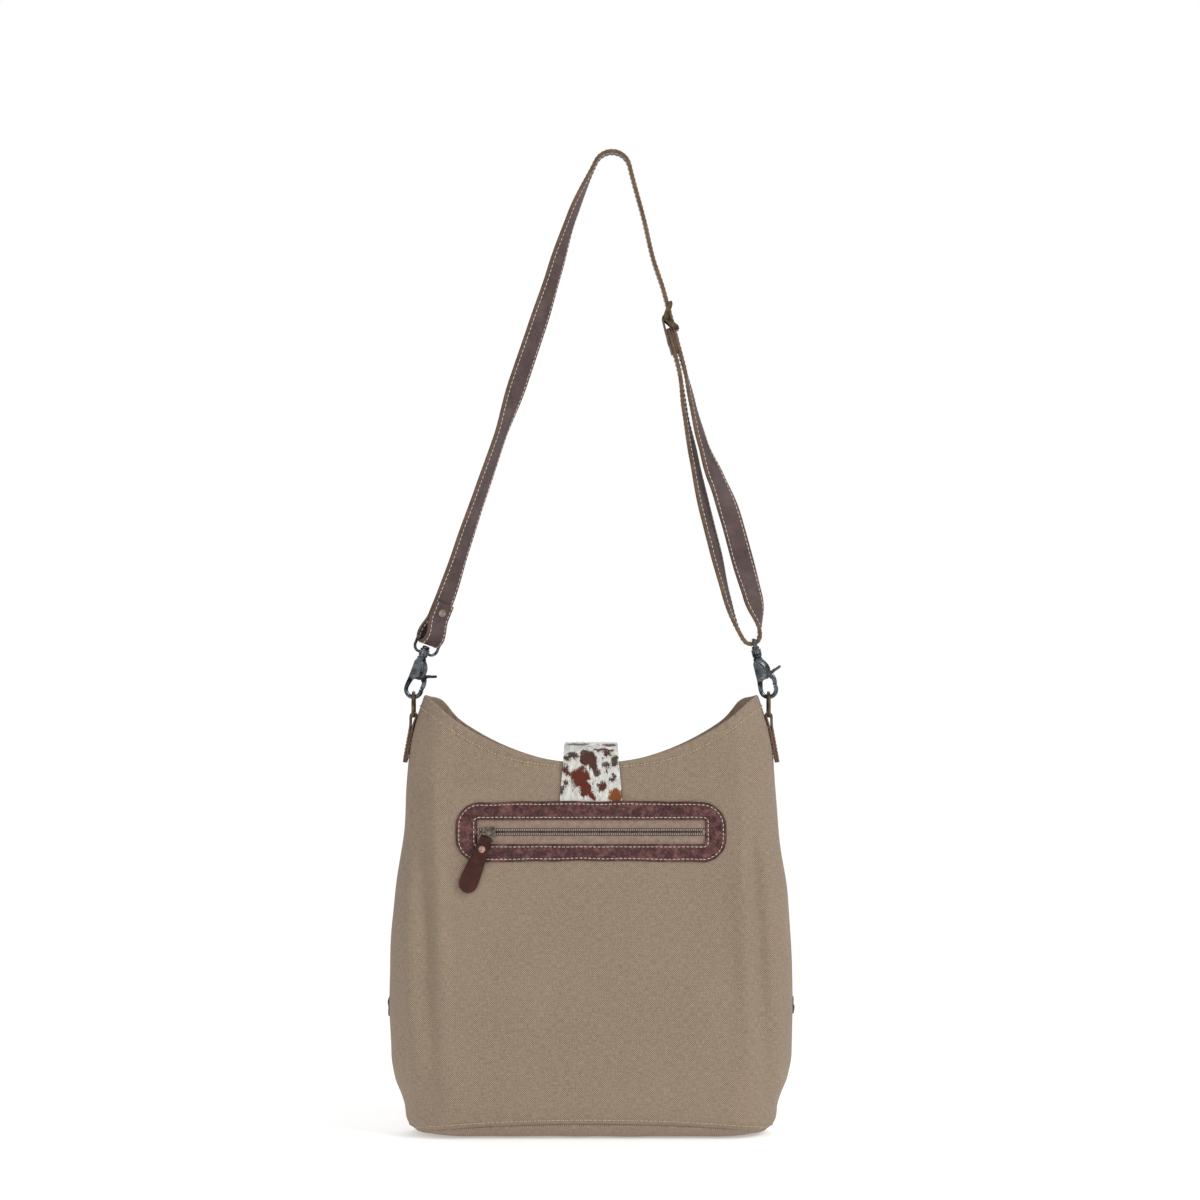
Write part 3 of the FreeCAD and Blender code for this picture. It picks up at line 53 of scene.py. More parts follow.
# ------------------------------------------------------------------
# The bag's form, in metres: the same sections as the CAD shells, drawn smooth.
# A face is -1 for the zip side and 1 for the front; a column is a place along the wall, from -1 to 1.
# ------------------------------------------------------------------
HALF_WIDTHS = [(0.0, 0.1585), (0.006, 0.1650), (0.014, 0.1685), (0.024, 0.1695), (0.034, 0.1725),
               (0.050, 0.1790), (0.072, 0.1830), (0.124, 0.1836), (0.168, 0.1828), (0.218, 0.1785),
               (0.275, 0.1708), (0.329, 0.1672), (0.350, 0.1650), (0.370, 0.1603), (0.384, 0.1562),
               (0.394, 0.1530), (0.402, 0.1505)]
HALF_DEPTHS = [(0.0, 0.0435), (0.03, 0.0500), (0.09, 0.0520), (0.15, 0.0500), (0.188, 0.0420),
               (0.222, 0.0363), (0.245, 0.0360), (0.41, 0.0360)]
MOUTH_RADIUS, MOUTH_LOW, MOUTH_STEPS = 0.213, 0.337, 14
SEAM_LOW, SEAM_RISE, SEAM_HALF, SEAM_TUCK = 0.003, 0.010, 0.160, 0.0022
WINDOW_HALF, WINDOW_LOW, WINDOW_HIGH = 0.105, 0.262, 0.288
ZIP_HEIGHT = 0.275
CENTRE_SHARE = 0.50
HEM, FOLD_RADIUS, FOLD_TRAVEL = 0.0125, 0.0015, 0.0047
# Distance from the middle, and how far below the rim the hem is stitched there: the rim rolls back
HEM_DEPTHS = [(0.0, 0.0050), (0.031, 0.0052), (0.046, 0.0060), (0.064, 0.0080), (0.082, 0.0096),
              (0.118, 0.0110), (0.136, 0.0122), (0.160, 0.0125)]


def hermite(t, span, low, high, low_slope, high_slope):
    """A cubic between two values that leaves and arrives at set slopes."""
    return ((2 * t ** 3 - 3 * t ** 2 + 1) * low + (t ** 3 - 2 * t ** 2 + t) * span * low_slope
            + (3 * t ** 2 - 2 * t ** 3) * high + (t ** 3 - t ** 2) * span * high_slope)


def through(points, place):
    """A smooth curve through (place, value) points, without overshoot and level outside them."""
    if place <= points[0][0]:
        return points[0][1]
    if place >= points[-1][0]:
        return points[-1][1]
    steps = [(b[1] - a[1]) / (b[0] - a[0]) for a, b in zip(points, points[1:])]
    spot = next(i for i in range(len(steps)) if place <= points[i + 1][0])
    slopes = []
    for i in (spot, spot + 1):
        before, after = steps[max(i - 1, 0)], steps[min(i, len(steps) - 1)]
        slopes.append(0.0 if before * after <= 0 else 2 * before * after / (before + after))
    (start, low), (finish, high) = points[spot], points[spot + 1]
    return hermite((place - start) / (finish - start), finish - start, low, high, *slopes)


def bump(value, middle, width):
    """A soft hill of height one."""
    return math.exp(-((value - middle) / width) ** 2)


def ease(value, low, high):
    """Nought below low, one above high, and smooth between."""
    t = min(1.0, max(0.0, (value - low) / (high - low)))
    return t * t * (3 - 2 * t)


def ripple(point, size, seed):
    """Smooth noise from -1 to 1 with features of a given size."""
    x, y, z = point
    return noise.noise(Vector((x / size + seed, y / size - seed, z / size + 2 * seed)))


def spread(low, high, count):
    """Even steps from low to high, both included."""
    return [low + (high - low) * index / (count - 1) for index in range(count)]


def polar(radius, degrees):
    """Across and up of a point on a circle."""
    return radius * math.cos(math.radians(degrees)), radius * math.sin(math.radians(degrees))


def mouth_height(across, face):
    """Height of the hollow mouth at a distance from the middle; the front dips more, with higher corners."""
    reach = min(abs(across), MOUTH_RADIUS - MM)
    height = MOUTH_LOW + MOUTH_RADIUS - math.sqrt(MOUTH_RADIUS ** 2 - reach ** 2)
    height -= 0.0035 * bump(abs(across), 0.154, 0.008)
    if face > 0:
        height += 0.0052 * bump(abs(across), 0.137, 0.0095) - 0.0042 * bump(across, 0.0, 0.105)
    return height


def section_spot(column, height):
    """Distance along the wall, across, depth and outward direction of a column at a height."""
    deep = through(HALF_DEPTHS, height)
    flat = through(HALF_WIDTHS, height) - deep
    sign = -1.0 if column < 0 else 1.0
    run = abs(column) / CENTRE_SHARE * WINDOW_HALF
    if abs(column) > CENTRE_SHARE:
        outer = (abs(column) - CENTRE_SHARE) / (1 - CENTRE_SHARE)
        run = WINDOW_HALF + outer * (flat - WINDOW_HALF + math.pi * deep / 2)
    turn = max(0.0, run - flat) / deep
    out = Vector((sign * math.sin(turn), math.cos(turn), 0))
    return sign * run, sign * (min(run, flat) + deep * math.sin(turn)), deep * math.cos(turn), out


def wall_point(column, height, face, inset=0.0):
    """A point of the wall, moved in by an inset, and the direction out of the wall."""
    across, depth, out = section_spot(column, height)[1:]
    point = Vector((across, depth, height)) - out * inset
    return Vector((point.x, face * point.y, point.z)), Vector((out.x, face * out.y, 0))


def mouth_on(column, face, drop=0.0):
    """The height at which a column of the wall meets one side's mouth, or a line below it."""
    height = 0.38
    for _ in range(MOUTH_STEPS):
        height = 0.5 * height + 0.5 * (mouth_height(section_spot(column, height)[1], face) - drop)
    return height


def seam_height(across):
    """Height of the seam between a panel and the base: it bows up towards the middle."""
    return SEAM_LOW + SEAM_RISE * max(0.0, 1 - (across / SEAM_HALF) ** 2) ** 0.7


# ------------------------------------------------------------------
# Lines and curves
# ------------------------------------------------------------------
def distances(spots):
    """How far along a line each of its spots is."""
    return np.concatenate([[0.0], np.cumsum([math.dist(a, b) for a, b in zip(spots, spots[1:])])])


def directions(spots):
    """The direction of travel at each spot of a line."""
    around = [spots[0], *spots, spots[-1]]
    return [(after - before).normalized() for before, after in zip(around, around[2:])]


def spline(places, values, first=None, last=None):
    """A cubic curve through values at places; its ends take set slopes or run out straight."""
    count = len(places)
    steps = np.diff(places)
    matrix = np.zeros((count, count))
    right = np.zeros((count, values.shape[1]))
    for i in range(1, count - 1):
        matrix[i, i - 1:i + 2] = steps[i], 2 * (steps[i - 1] + steps[i]), steps[i - 1]
        right[i] = 3 * (steps[i] * (values[i] - values[i - 1]) / steps[i - 1]
                        + steps[i - 1] * (values[i + 1] - values[i]) / steps[i])
    for end, near, slope, low in ((0, 1, first, 0), (count - 1, count - 2, last, count - 2)):
        matrix[end, end] = 1.0
        if slope is None:
            matrix[end, [end, near]] = 2.0, 1.0
            right[end] = 3 * (values[low + 1] - values[low]) / steps[low]
        else:
            right[end] = slope
    slopes = np.linalg.solve(matrix, right)

    def value(place):
        low = int(np.clip(np.searchsorted(places, place) - 1, 0, count - 2))
        t = (place - places[low]) / steps[low]
        return hermite(t, steps[low], values[low], values[low + 1], slopes[low], slopes[low + 1])

    return value


def smooth_path(points, count):
    """Even spots along a smooth curve through points, and their directions of travel."""
    run = distances(points)
    line = spline(run, np.array(points))
    fine = np.array([line(place) for place in np.linspace(0, run[-1], count * 4)])
    run = distances(fine)
    spots = [Vector([np.interp(place, run, fine[:, axis]) for axis in range(3)])
             for place in np.linspace(0, run[-1], count)]
    return spots, directions(spots)


# ------------------------------------------------------------------
# Mesh helpers
# ------------------------------------------------------------------
def new_piece(name, mesh, paints, body=None, nodes=(), smooth=True):
    """An object with its paints; it rides on a body and stands for CAD nodes when they are given."""
    made = bpy.data.objects.new(name, mesh)
    bpy.context.scene.collection.objects.link(made)
    for paint in paints:
        mesh.materials.append(paint)
    mesh.polygons.foreach_set("use_smooth", [smooth] * len(mesh.polygons))
    mesh.update()
    if body:
        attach(made, body)
    if nodes:
        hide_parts(*nodes)
    return made


def raw_mesh(points, faces, uvs=None):
    """A mesh; uvs are each point's pair of lengths, in metres."""
    mesh = bpy.data.meshes.new("form")
    mesh.from_pydata([tuple(point) for point in points], [], faces)
    if uvs:
        corners = np.empty(len(mesh.loops), dtype=np.int32)
        mesh.loops.foreach_get("vertex_index", corners)
        layer = mesh.uv_layers.new(name="cloth")
        layer.data.foreach_set("uv", np.array(uvs, dtype=np.float32)[corners].ravel())
    return mesh


def sheet(rows, uvs=(), wrap=False):
    """A mesh through rows of points; wrap joins each row's end to its start."""
    width = len(rows[0])
    faces = []
    for low in range(0, (len(rows) - 1) * width, width):
        for column in range(width if wrap else width - 1):
            after = (column + 1) % width
            faces.append((low + column, low + after, low + width + after, low + width + column))
    return raw_mesh([point for row in rows for point in row], faces, [pair for row in uvs for pair in row])


@contextlib.contextmanager
def editing(*meshes):
    """The meshes as one bmesh, which becomes the first of them when the block ends."""
    work = bmesh.new()
    for mesh in meshes:
        work.from_mesh(mesh)
    yield work
    work.to_mesh(meshes[0])
    work.free()


def face_out(work):
    """Turns every face of a closed form outwards."""
    bmesh.ops.recalc_face_normals(work, faces=work.faces)


def modified(mesh, *modifiers):
    """The mesh after modifiers, each given as its kind and its values."""
    holder = bpy.data.objects.new("holder", mesh)
    bpy.context.scene.collection.objects.link(holder)
    for kind, values in modifiers:
        modifier = holder.modifiers.new(kind, kind)
        for key, value in values.items():
            setattr(modifier, key, value)
    graph = bpy.context.evaluated_depsgraph_get()
    result = bpy.data.meshes.new_from_object(holder.evaluated_get(graph), preserve_all_data_layers=True,
                                             depsgraph=graph)
    bpy.data.objects.remove(holder)
    bpy.data.meshes.remove(mesh)
    return result


def thickened(mesh, thickness, offset=-1.0):
    """A sheet given its thickness, inwards unless told otherwise."""
    return modified(mesh, ("SOLIDIFY", {"thickness": thickness, "offset": offset, "use_even_offset": True,
                                        "thickness_clamp": 1.0}))


def rounded_section(half_wide, half_thick, corner, dome):
    """Points (across, up) round a flat section with rounded corners and slightly domed faces."""
    points = []
    for start, right, top in ((0, 1, 1), (90, -1, 1), (180, -1, -1), (270, 1, -1)):
        for angle in (0, 30, 60, 90):
            x, y = polar(corner, start + angle)
            points.append((right * (half_wide - corner) + x, top * (half_thick - corner) + y))
        if right == top:
            for share in (0.62, 0.25, -0.25, -0.62):
                points.append((top * share * half_wide, top * (half_thick + dome * (1 - share ** 2))))
    return points


def ribbon(stations, half_wide, half_thick, corner, dome=0.0, uv_start=0.0):
    """A closed strip along stations (point, side, up, width share); its edges take the second paint."""
    section = rounded_section(half_wide, half_thick, corner, dome)
    count = len(section)
    rows, uvs, travelled = [], [], uv_start
    for index, (point, side, up, share) in enumerate(stations):
        if index:
            travelled += (point - stations[index - 1][0]).length
        rows.append([point + side * (across * share) + up * height for across, height in section])
        uvs.append([(across * share, travelled) for across, height in section])
    mesh = sheet(rows, uvs, wrap=True)
    flat_half = half_wide - corner * 0.75
    with editing(mesh) as work:
        corners = list(work.verts)
        work.faces.new(corners[count - 1::-1])
        work.faces.new(corners[-count:])
        for number, face in enumerate(work.faces):
            column = number % count
            edge = min(abs(section[column][0]), abs(section[(column + 1) % count][0])) > flat_half
            if edge or number >= count * (len(stations) - 1):
                face.material_index = 1
        face_out(work)
    return mesh


class Thread:
    """Stitches gathered into one mesh."""

    SIDES = 6
    # Place along the stitch, share of the thread's radius, and lift in radii
    RINGS = [(-0.5, 0.45, -0.6), (-0.3, 0.9, 0.35), (0.0, 1.0, 0.6), (0.3, 0.9, 0.35), (0.5, 0.45, -0.6)]

    def __init__(self):
        self.points = []
        self.faces = []

    def stitch(self, middle, way, up, length, radius):
        """One stitch: a thread that rises out of the cloth and dips back into it."""
        side = way.cross(up).normalized()
        first = len(self.points)
        for place, share, lift in self.RINGS:
            centre = middle + way * (place * length) + up * (lift * radius)
            for corner in range(self.SIDES):
                x, y = polar(1, 360 * corner / self.SIDES)
                self.points.append(centre + (side * x + up * y) * radius * share)
        last = first + (len(self.RINGS) - 1) * self.SIDES
        for low in range(first, last, self.SIDES):
            high = low + self.SIDES
            for corner in range(self.SIDES):
                after = (corner + 1) % self.SIDES
                self.faces.append((low + corner, high + corner, high + after, low + after))
        self.faces.append(tuple(range(first, first + self.SIDES)))
        self.faces.append(tuple(range(last + self.SIDES - 1, last - 1, -1)))

    def run(self, spots, size):
        """Stitches along spots (point, up way); size is their pitch, length and radius."""
        pitch, length, radius = size
        ahead = pitch / 2
        for (start, up), (finish, up_after) in zip(spots, spots[1:]):
            span = (finish - start).length
            while span > 1e-9 and ahead <= span:
                way = (finish - start) / span
                rise = up.lerp(up_after, ahead / span).normalized()
                rise = (rise - way * rise.dot(way)).normalized()
                self.stitch(start + way * ahead, way, rise, length, radius)
                ahead += pitch
            ahead -= span

    def finish(self, name, paint, body):
        """The gathered stitches as one piece."""
        return new_piece(name, raw_mesh(self.points, self.faces), [paint], body)


# ------------------------------------------------------------------
# Materials
# ------------------------------------------------------------------
def colour(tone):
    """A linear colour from a display colour with parts from 0 to 255."""
    parts = [part / 255 for part in tone]
    return tuple(p / 12.92 if p <= 0.04045 else ((p + 0.055) / 1.055) ** 2.4 for p in parts) + (1.0,)


class Paint:
    """A node material while it is being built."""

    def __init__(self, name):
        self.material = bpy.data.materials.new(name)
        self.material.use_nodes = True
        self.tree = self.material.node_tree
        self.shader = next(node for node in self.tree.nodes if node.type == "BSDF_PRINCIPLED")

    def put(self, socket, value):
        """Feeds a socket from another socket, or sets its number or colour."""
        if isinstance(value, bpy.types.NodeSocket):
            self.tree.links.new(value, socket)
        else:
            socket.default_value = value

    def node(self, kind, inputs, **settings):
        """A node with its settings and inputs."""
        made = self.tree.nodes.new(kind)
        for key, value in settings.items():
            setattr(made, key, value)
        for key, value in inputs.items():
            self.put(made.inputs[key], value)
        return made

    def place(self, source="Object", scale=(1, 1, 1)):
        """Coordinates in metres, stretched by a scale."""
        inputs = {"Vector": self.node("ShaderNodeTexCoord", {}).outputs[source], "Scale": scale}
        return self.node("ShaderNodeMapping", inputs).outputs[0]

    def noise(self, where, scale, detail=4.0, rough=0.55, output=0):
        """Cloudy values from 0 to 1, or with output 1 cloudy colours."""
        inputs = {"Vector": where, "Scale": scale, "Detail": detail, "Roughness": rough}
        return self.node("ShaderNodeTexNoise", inputs).outputs[output]

    def cells(self, where, scale):
        """Distances from the edges of a pattern of cells."""
        inputs = {"Vector": where, "Scale": scale}
        return self.node("ShaderNodeTexVoronoi", inputs, feature="DISTANCE_TO_EDGE").outputs[0]

    def bands(self, where, scale, direction="DIAGONAL", distortion=0.0):
        """Even bands from 0 to 1."""
        inputs = {"Vector": where, "Scale": scale, "Distortion": distortion}
        return self.node("ShaderNodeTexWave", inputs, bands_direction=direction).outputs["Fac"]

    def ramp(self, value, *stops):
        """Colours or greys along a value, from stops (place, colour)."""
        made = self.node("ShaderNodeValToRGB", {"Fac": value})
        elements = made.color_ramp.elements
        while len(elements) < len(stops):
            elements.new(0.5)
        for element, (spot, tone) in zip(elements, stops):
            element.position = spot
            element.color = colour(tone) if isinstance(tone, tuple) else (tone, tone, tone, 1)
        return made.outputs[0]

    def blend(self, share, first, second, kind="MIX"):
        """A mix of two colours."""
        made = self.node("ShaderNodeMix", {}, data_type="RGBA", blend_type=kind)
        for socket, value in zip((0, 6, 7), (share, first, second)):
            self.put(made.inputs[socket], colour(value) if isinstance(value, tuple) else value)
        return made.outputs[2]

    def maths(self, operation, first, second):
        """One sum on two values."""
        return self.node("ShaderNodeMath", {0: first, 1: second}, operation=operation).outputs[0]

    def shift(self, operation, first, second):
        """One sum on two vectors."""
        return self.node("ShaderNodeVectorMath", {0: first, 1: second}, operation=operation).outputs[0]

    def weigh(self, first, first_share, second, second_share):
        """Two values added up at their shares."""
        return self.maths("ADD", self.maths("MULTIPLY", first, first_share),
                          self.maths("MULTIPLY", second, second_share))

    def finish(self, base, rough, heights, metallic=0.0, sheen=0.0, shine=0.5):
        """Sets the surface; heights is a list of (value, metres) that become bumps."""
        below = {}
        for value, depth in heights:
            inputs = {"Height": value, "Strength": 1.0, "Distance": depth, **below}
            below = {"Normal": self.node("ShaderNodeBump", inputs).outputs[0]}
        surface = {"Base Color": base, "Roughness": rough, "Metallic": metallic, "Sheen Weight": sheen,
                   "Specular IOR Level": shine, **below}
        for key, value in surface.items():
            self.put(self.shader.inputs[key], value)
        return self.material


def paint_canvas(name, light, dark):
    """Cotton twill: diagonal ribs, slubby threads and soft wear."""
    paint = Paint(name)
    ribs = paint.bands(paint.place("UV"), 331, distortion=0.5)
    floats = paint.bands(paint.place("UV", (1, -1, 1)), 331, distortion=0.5)
    weft = paint.noise(paint.place("UV", (170, 900, 700)), 1.0, 2.0)
    warp = paint.noise(paint.place("UV", (900, 210, 700)), 1.0, 2.0)
    threads = paint.weigh(weft, 0.5, warp, 0.5)
    mixed = paint.weigh(threads, 0.62, paint.weigh(ribs, 0.62, floats, 0.38), 0.38)
    worn = paint.ramp(paint.noise(paint.place(), 14), (0.35, 0.0), (0.75, 0.16))
    tone = paint.blend(worn, paint.ramp(mixed, (0.30, dark), (0.70, light)), light)
    return paint.finish(tone, 0.92, [(ribs, 0.00012), (threads, 0.00025)], sheen=0.08)


def paint_cloth(name, light, dark, scale=900):
    """Plain woven cotton."""
    paint = Paint(name)
    where = paint.place()
    weave = paint.maths("MULTIPLY", paint.bands(where, scale, "X"), paint.bands(where, scale, "Z"))
    tone = paint.ramp(paint.weigh(weave, 0.4, paint.noise(where, 260, 3.0), 1.0), (0.3, dark), (0.9, light))
    return paint.finish(tone, 0.94, [(weave, 0.00008)])


def paint_leather(name, dark, middle, light, gloss=0.42, crackle=0.3, wax=60, shine=0.5):
    """Waxed leather: cloudy tone, fine grain, pale creases where the wax has cracked."""
    paint = Paint(name)
    where = paint.place()
    clouds = paint.noise(where, wax, 5.0, 0.62)
    warped = paint.node("ShaderNodeMixRGB", {"Fac": 0.012, "Color1": where}).outputs[0]
    grains = paint.ramp(paint.cells(where, 900), (0.0, 0.0), (0.25, 1.0))
    lines = paint.ramp(paint.cells(warped, 297), (0.0, 1.0), (0.09, 0.0))
    patch = paint.ramp(paint.noise(where, wax * 1.6, 3.0), (0.42, 0.0), (0.62, 1.0))
    cracked = paint.maths("MULTIPLY", paint.maths("MULTIPLY", lines, patch), crackle)
    tone = paint.blend(cracked, paint.ramp(clouds, (0.30, dark), (0.50, middle), (0.74, light)), light)
    rough = paint.ramp(clouds, (0.3, gloss), (0.8, gloss + 0.25))
    heights = [(grains, 0.00010), (lines, -0.00006), (paint.noise(where, 140, 3.0), 0.0005)]
    return paint.finish(tone, rough, heights, shine=shine)


def paint_edge(name, light, dark):
    """The raw tan edge of leather, with its fibres running along it."""
    paint = Paint(name)
    where = paint.place()
    fibres = paint.noise(where, 700)
    mixed = paint.weigh(fibres, 0.6, paint.noise(where, 120, 2.0), 0.4)
    return paint.finish(paint.ramp(mixed, (0.34, dark), (0.62, light)), 0.8, [(fibres, 0.00025)])


def paint_thread(name, light, dark):
    """Twisted thread."""
    paint = Paint(name)
    strands = paint.noise(paint.place(), 1500, 2.0)
    tone = paint.ramp(strands, (0.35, dark), (0.65, light))
    return paint.finish(tone, 0.75, [(strands, 0.0001)], sheen=0.1)


def paint_metal(name, dark, light, rough):
    """Plated metal with a mottled patina."""
    paint = Paint(name)
    where = paint.place()
    patina = paint.noise(where, 160, 5.0, 0.6)
    gloss = paint.ramp(patina, (0.35, rough + 0.15), (0.7, rough))
    heights = [(paint.noise(where, 640, 2.0), 0.00006)]
    return paint.finish(paint.ramp(patina, (0.36, dark), (0.66, light)), gloss, heights, metallic=0.9)


def patch_mask(paint, where, patch):
    """One soft-edged oval patch: middle across and along, half lengths across and along, in metres."""
    across, along, half_across, half_along = patch
    parts = paint.node("ShaderNodeSeparateXYZ", {"Vector": where}).outputs
    squares = []
    for part, middle, half in ((parts[0], across, half_across), (parts[1], along, half_along)):
        offset = paint.maths("DIVIDE", paint.maths("SUBTRACT", part, middle), half)
        squares.append(paint.maths("MULTIPLY", offset, offset))
    return paint.ramp(paint.maths("ADD", *squares), (0.72, 1.0), (1.0, 0.0))


def paint_hide(name, patches):
    """Short-haired hide: off-white, with patches placed one by one or, without any, by cloudy noise."""
    paint = Paint(name)
    flat = paint.place("UV")
    torn = paint.noise(paint.place("UV", (1, 0.45, 1)), 260, 4.0, 0.7)
    ragged = paint.shift("SUBTRACT", paint.noise(flat, 150, 5.0, 0.7, output=1), (0.5, 0.5, 0.5))
    moved = paint.shift("ADD", flat, paint.shift("MULTIPLY", ragged, (0.013, 0.022, 0.0)))
    tone = paint.ramp(torn, (0.3, HIDE_SHADE), (0.6, HIDE_WHITE))
    for shade, ovals in patches.items():
        for oval in ovals:
            tone = paint.blend(patch_mask(paint, moved, oval), tone, shade)
    if not patches:
        tone = paint.blend(paint.ramp(paint.noise(moved, 28, 2.0), (0.56, 0.0), (0.59, 1.0)), tone, RUST)
    specks = paint.ramp(paint.noise(moved, 210, 2.0), (0.64, 0.0), (0.68, 1.0))
    strands = paint.noise(paint.place("UV", (2600, 420, 1)), 1.0, 2.0)
    shadow = paint.ramp(strands, (0.3, 0.35), (0.6, 0.0))
    tone = paint.blend(shadow, paint.blend(specks, tone, DARK_HAIR), (70, 48, 40), "MULTIPLY")
    return paint.finish(tone, 0.6, [(strands, 0.0003), (torn, 0.0004)], sheen=0.05, shine=0.3)


HIDE_WHITE, HIDE_SHADE = (236, 236, 230), (192, 191, 184)
RUST, DARK_HAIR, PLUM_HAIR, OCHRE_HAIR = (100, 38, 14), (80, 64, 56), (84, 46, 38), (136, 74, 26)

canvas_paint = paint_canvas("canvas_twill", (166, 147, 126), (98, 82, 68))
tape_paint = paint_cloth("zip_tape_weave", (163, 142, 127), (127, 108, 95), 1400)
lining_paint = paint_cloth("lining_cotton", (176, 160, 138), (140, 124, 104))
# Dark cloth for the strips under the zip's coil rows: painted shade between the coils and the tape
coil_shade_paint = paint_cloth("coil_painted_shade", (98, 82, 74), (68, 56, 50), 1400)
frame_paint = paint_leather("plum_leather", (36, 10, 10), (68, 29, 29), (122, 82, 78), 0.28, 0.9, 150, 0.36)
strap_paint = paint_leather("strap_leather", (54, 36, 34), (72, 52, 50), (92, 74, 70), 0.40, 0.2)
pull_paint = paint_leather("pull_leather", (34, 9, 6), (58, 20, 13), (82, 36, 26), 0.26, 0.2, shine=0.28)
tab_paint = paint_leather("side_tab_leather", (78, 50, 38), (112, 84, 66), (142, 118, 98))
braid_paint = paint_leather("braid_leather", (40, 38, 35), (62, 58, 53), (92, 86, 78))
back_paint = paint_leather("backing_leather", (70, 44, 38), (98, 68, 58), (126, 96, 84), 0.6, 0.1)
edge_paint = paint_edge("tan_edge", (118, 92, 70), (66, 50, 40))
tab_edge_paint = paint_edge("side_tab_edge", (122, 94, 76), (84, 58, 46))
thread_paint = paint_thread("cream_thread", (226, 214, 196), (188, 172, 150))
canvas_thread_paint = paint_thread("sand_thread", (206, 188, 162), (160, 140, 114))
coil_paint = paint_thread("coil_nylon", (190, 174, 163), (142, 125, 115))
nickel_paint = paint_metal("worn_nickel", (118, 104, 94), (186, 174, 164), 0.36)
gunmetal_paint = paint_metal("gunmetal", (20, 22, 25), (122, 128, 134), 0.18)
brass_paint = paint_metal("antique_brass", (54, 48, 38), (128, 110, 82), 0.4)
chain_paint = paint_metal("chain_metal", (104, 92, 82), (176, 160, 148), 0.42)
slider_paint = paint_metal("slider_metal", (72, 66, 58), (140, 130, 116), 0.4)
copper_paint = paint_metal("rose_copper", (120, 86, 74), (206, 168, 150), 0.36)
steel_paint = paint_metal("spring_steel", (90, 92, 94), (150, 152, 154), 0.32)


# ------------------------------------------------------------------
# The canvas bag
# ------------------------------------------------------------------
CANVAS_THICK, BASE_THICK, LINING_THICK, POCKET_THICK, POCKET_HALF = 0.0011, 0.0012, 0.0006, 0.0005, 0.1062
# Stitches: pitch, length and radius
HEM_STITCH, SEAM_STITCH = (0.0032, 0.0023, 0.00046), (0.0042, 0.0032, 0.00036)
CANVAS_SIDES = {-1: ("canvas_zip_side", "back_panel"), 1: ("canvas_front_side", "front_panel")}
# Soft folds: across, height of the middle, half width, half height, depth (all metres)
FOLDS = [(-0.149, 0.190, 0.0065, 0.125, -0.0052), (-0.136, 0.215, 0.0075, 0.100, 0.0034),
         (-0.162, 0.130, 0.0065, 0.090, 0.0032), (0.151, 0.200, 0.0070, 0.130, -0.0050),
         (0.138, 0.165, 0.0085, 0.120, 0.0032), (0.164, 0.120, 0.0065, 0.085, 0.0028),
         (-0.118, 0.318, 0.0220, 0.0060, -0.0026), (-0.096, 0.327, 0.0180, 0.0050, 0.0020),
         (-0.130, 0.300, 0.0160, 0.0060, 0.0018), (-0.070, 0.312, 0.0160, 0.0045, -0.0014),
         (0.118, 0.322, 0.0160, 0.0060, -0.0016), (0.145, 0.290, 0.0080, 0.0300, 0.0022),
         (0.060, 0.120, 0.0500, 0.0900, 0.0020), (-0.050, 0.105, 0.0600, 0.0800, 0.0018),
         (0.010, 0.030, 0.0900, 0.0140, 0.0014), (-0.150, 0.045, 0.0120, 0.0200, -0.0024),
         (0.150, 0.040, 0.0120, 0.0220, -0.0022)]


def wave(across, length, phase=0.0):
    """A sine along the wall with waves of a given length."""
    return math.sin(across * 2 * math.pi / length + phase)


def cloth_shift(across, height, face):
    """How far the canvas stands off its smooth form at a spot of one side."""
    mirrored = across if face < 0 else -across * 0.93
    depth = (1.0 if face < 0 else 0.6) * sum(
        size * bump(mirrored + 0.05 * (height - middle), place, wide) * bump(height, middle, tall)
        for place, middle, wide, tall, size in FOLDS)
    spot = (mirrored, 0.3 * face, height)
    depth += 0.0011 * ripple(spot, 0.045, 3.1 * face) + 0.0005 * ripple(spot, 0.017, 7.7)
    calm = bump(height, ZIP_HEIGHT, 0.030) * (1 - ease(abs(across), 0.118, 0.140)) if face < 0 else 0.0
    rim = mouth_height(across, face)
    top = ease(height, rim - 0.022, rim - 0.004)
    low = 1 - ease(height, seam_height(across), seam_height(across) + 0.010)
    pucker = 0.00035 * wave(across, 0.0085, 2 * math.sin(across * 90))
    hem = rim - through(HEM_DEPTHS, abs(across))
    sewn = -0.0009 * bump(height, hem, 0.0016) + 0.0004 * ease(height, hem, hem + 0.003)
    shift = (depth * (1 - calm) * (1 - 0.75 * top) * (1 - 0.7 * low) + pucker * (top * 0.8 + low) * (1 - calm)
             + sewn * (1 + 0.5 * wave(across, 0.0082)))
    half = through(HALF_WIDTHS, height)
    side = ease(abs(across), half - 0.0080, half - 0.0004)
    seam = 0.0012 * ripple((math.copysign(1.0, across), 0, height), 0.05, 4.0) * (1 - low)
    return shift * (1 - side) + seam * side


def on_cloth(column, height, face, lift):
    """A spot that stands a lift off the canvas, and the direction out of the wall there."""
    point, out = wall_point(column, height, face)
    return point + out * (cloth_shift(point.x, height, face) + lift), out


def canvas_columns():
    """Column places: even within the middle share, so that two of them are the window's upright edges."""
    side = spread(CENTRE_SHARE, 1.0, 56)[1:]
    return [-place for place in reversed(side)] + spread(-CENTRE_SHARE, CENTRE_SHARE, 101) + side


def canvas_rows(column, face):
    """Heights of one column from the seam to the mouth, with rows on the window's level edges."""
    low, top = seam_height(section_spot(column, 0.2)[1]), mouth_on(column, face)
    return (spread(low, WINDOW_LOW, 86) + spread(WINDOW_LOW, WINDOW_HIGH, 7)[1:]
            + spread(WINDOW_HIGH, top - FOLD_RADIUS, 26)[1:])


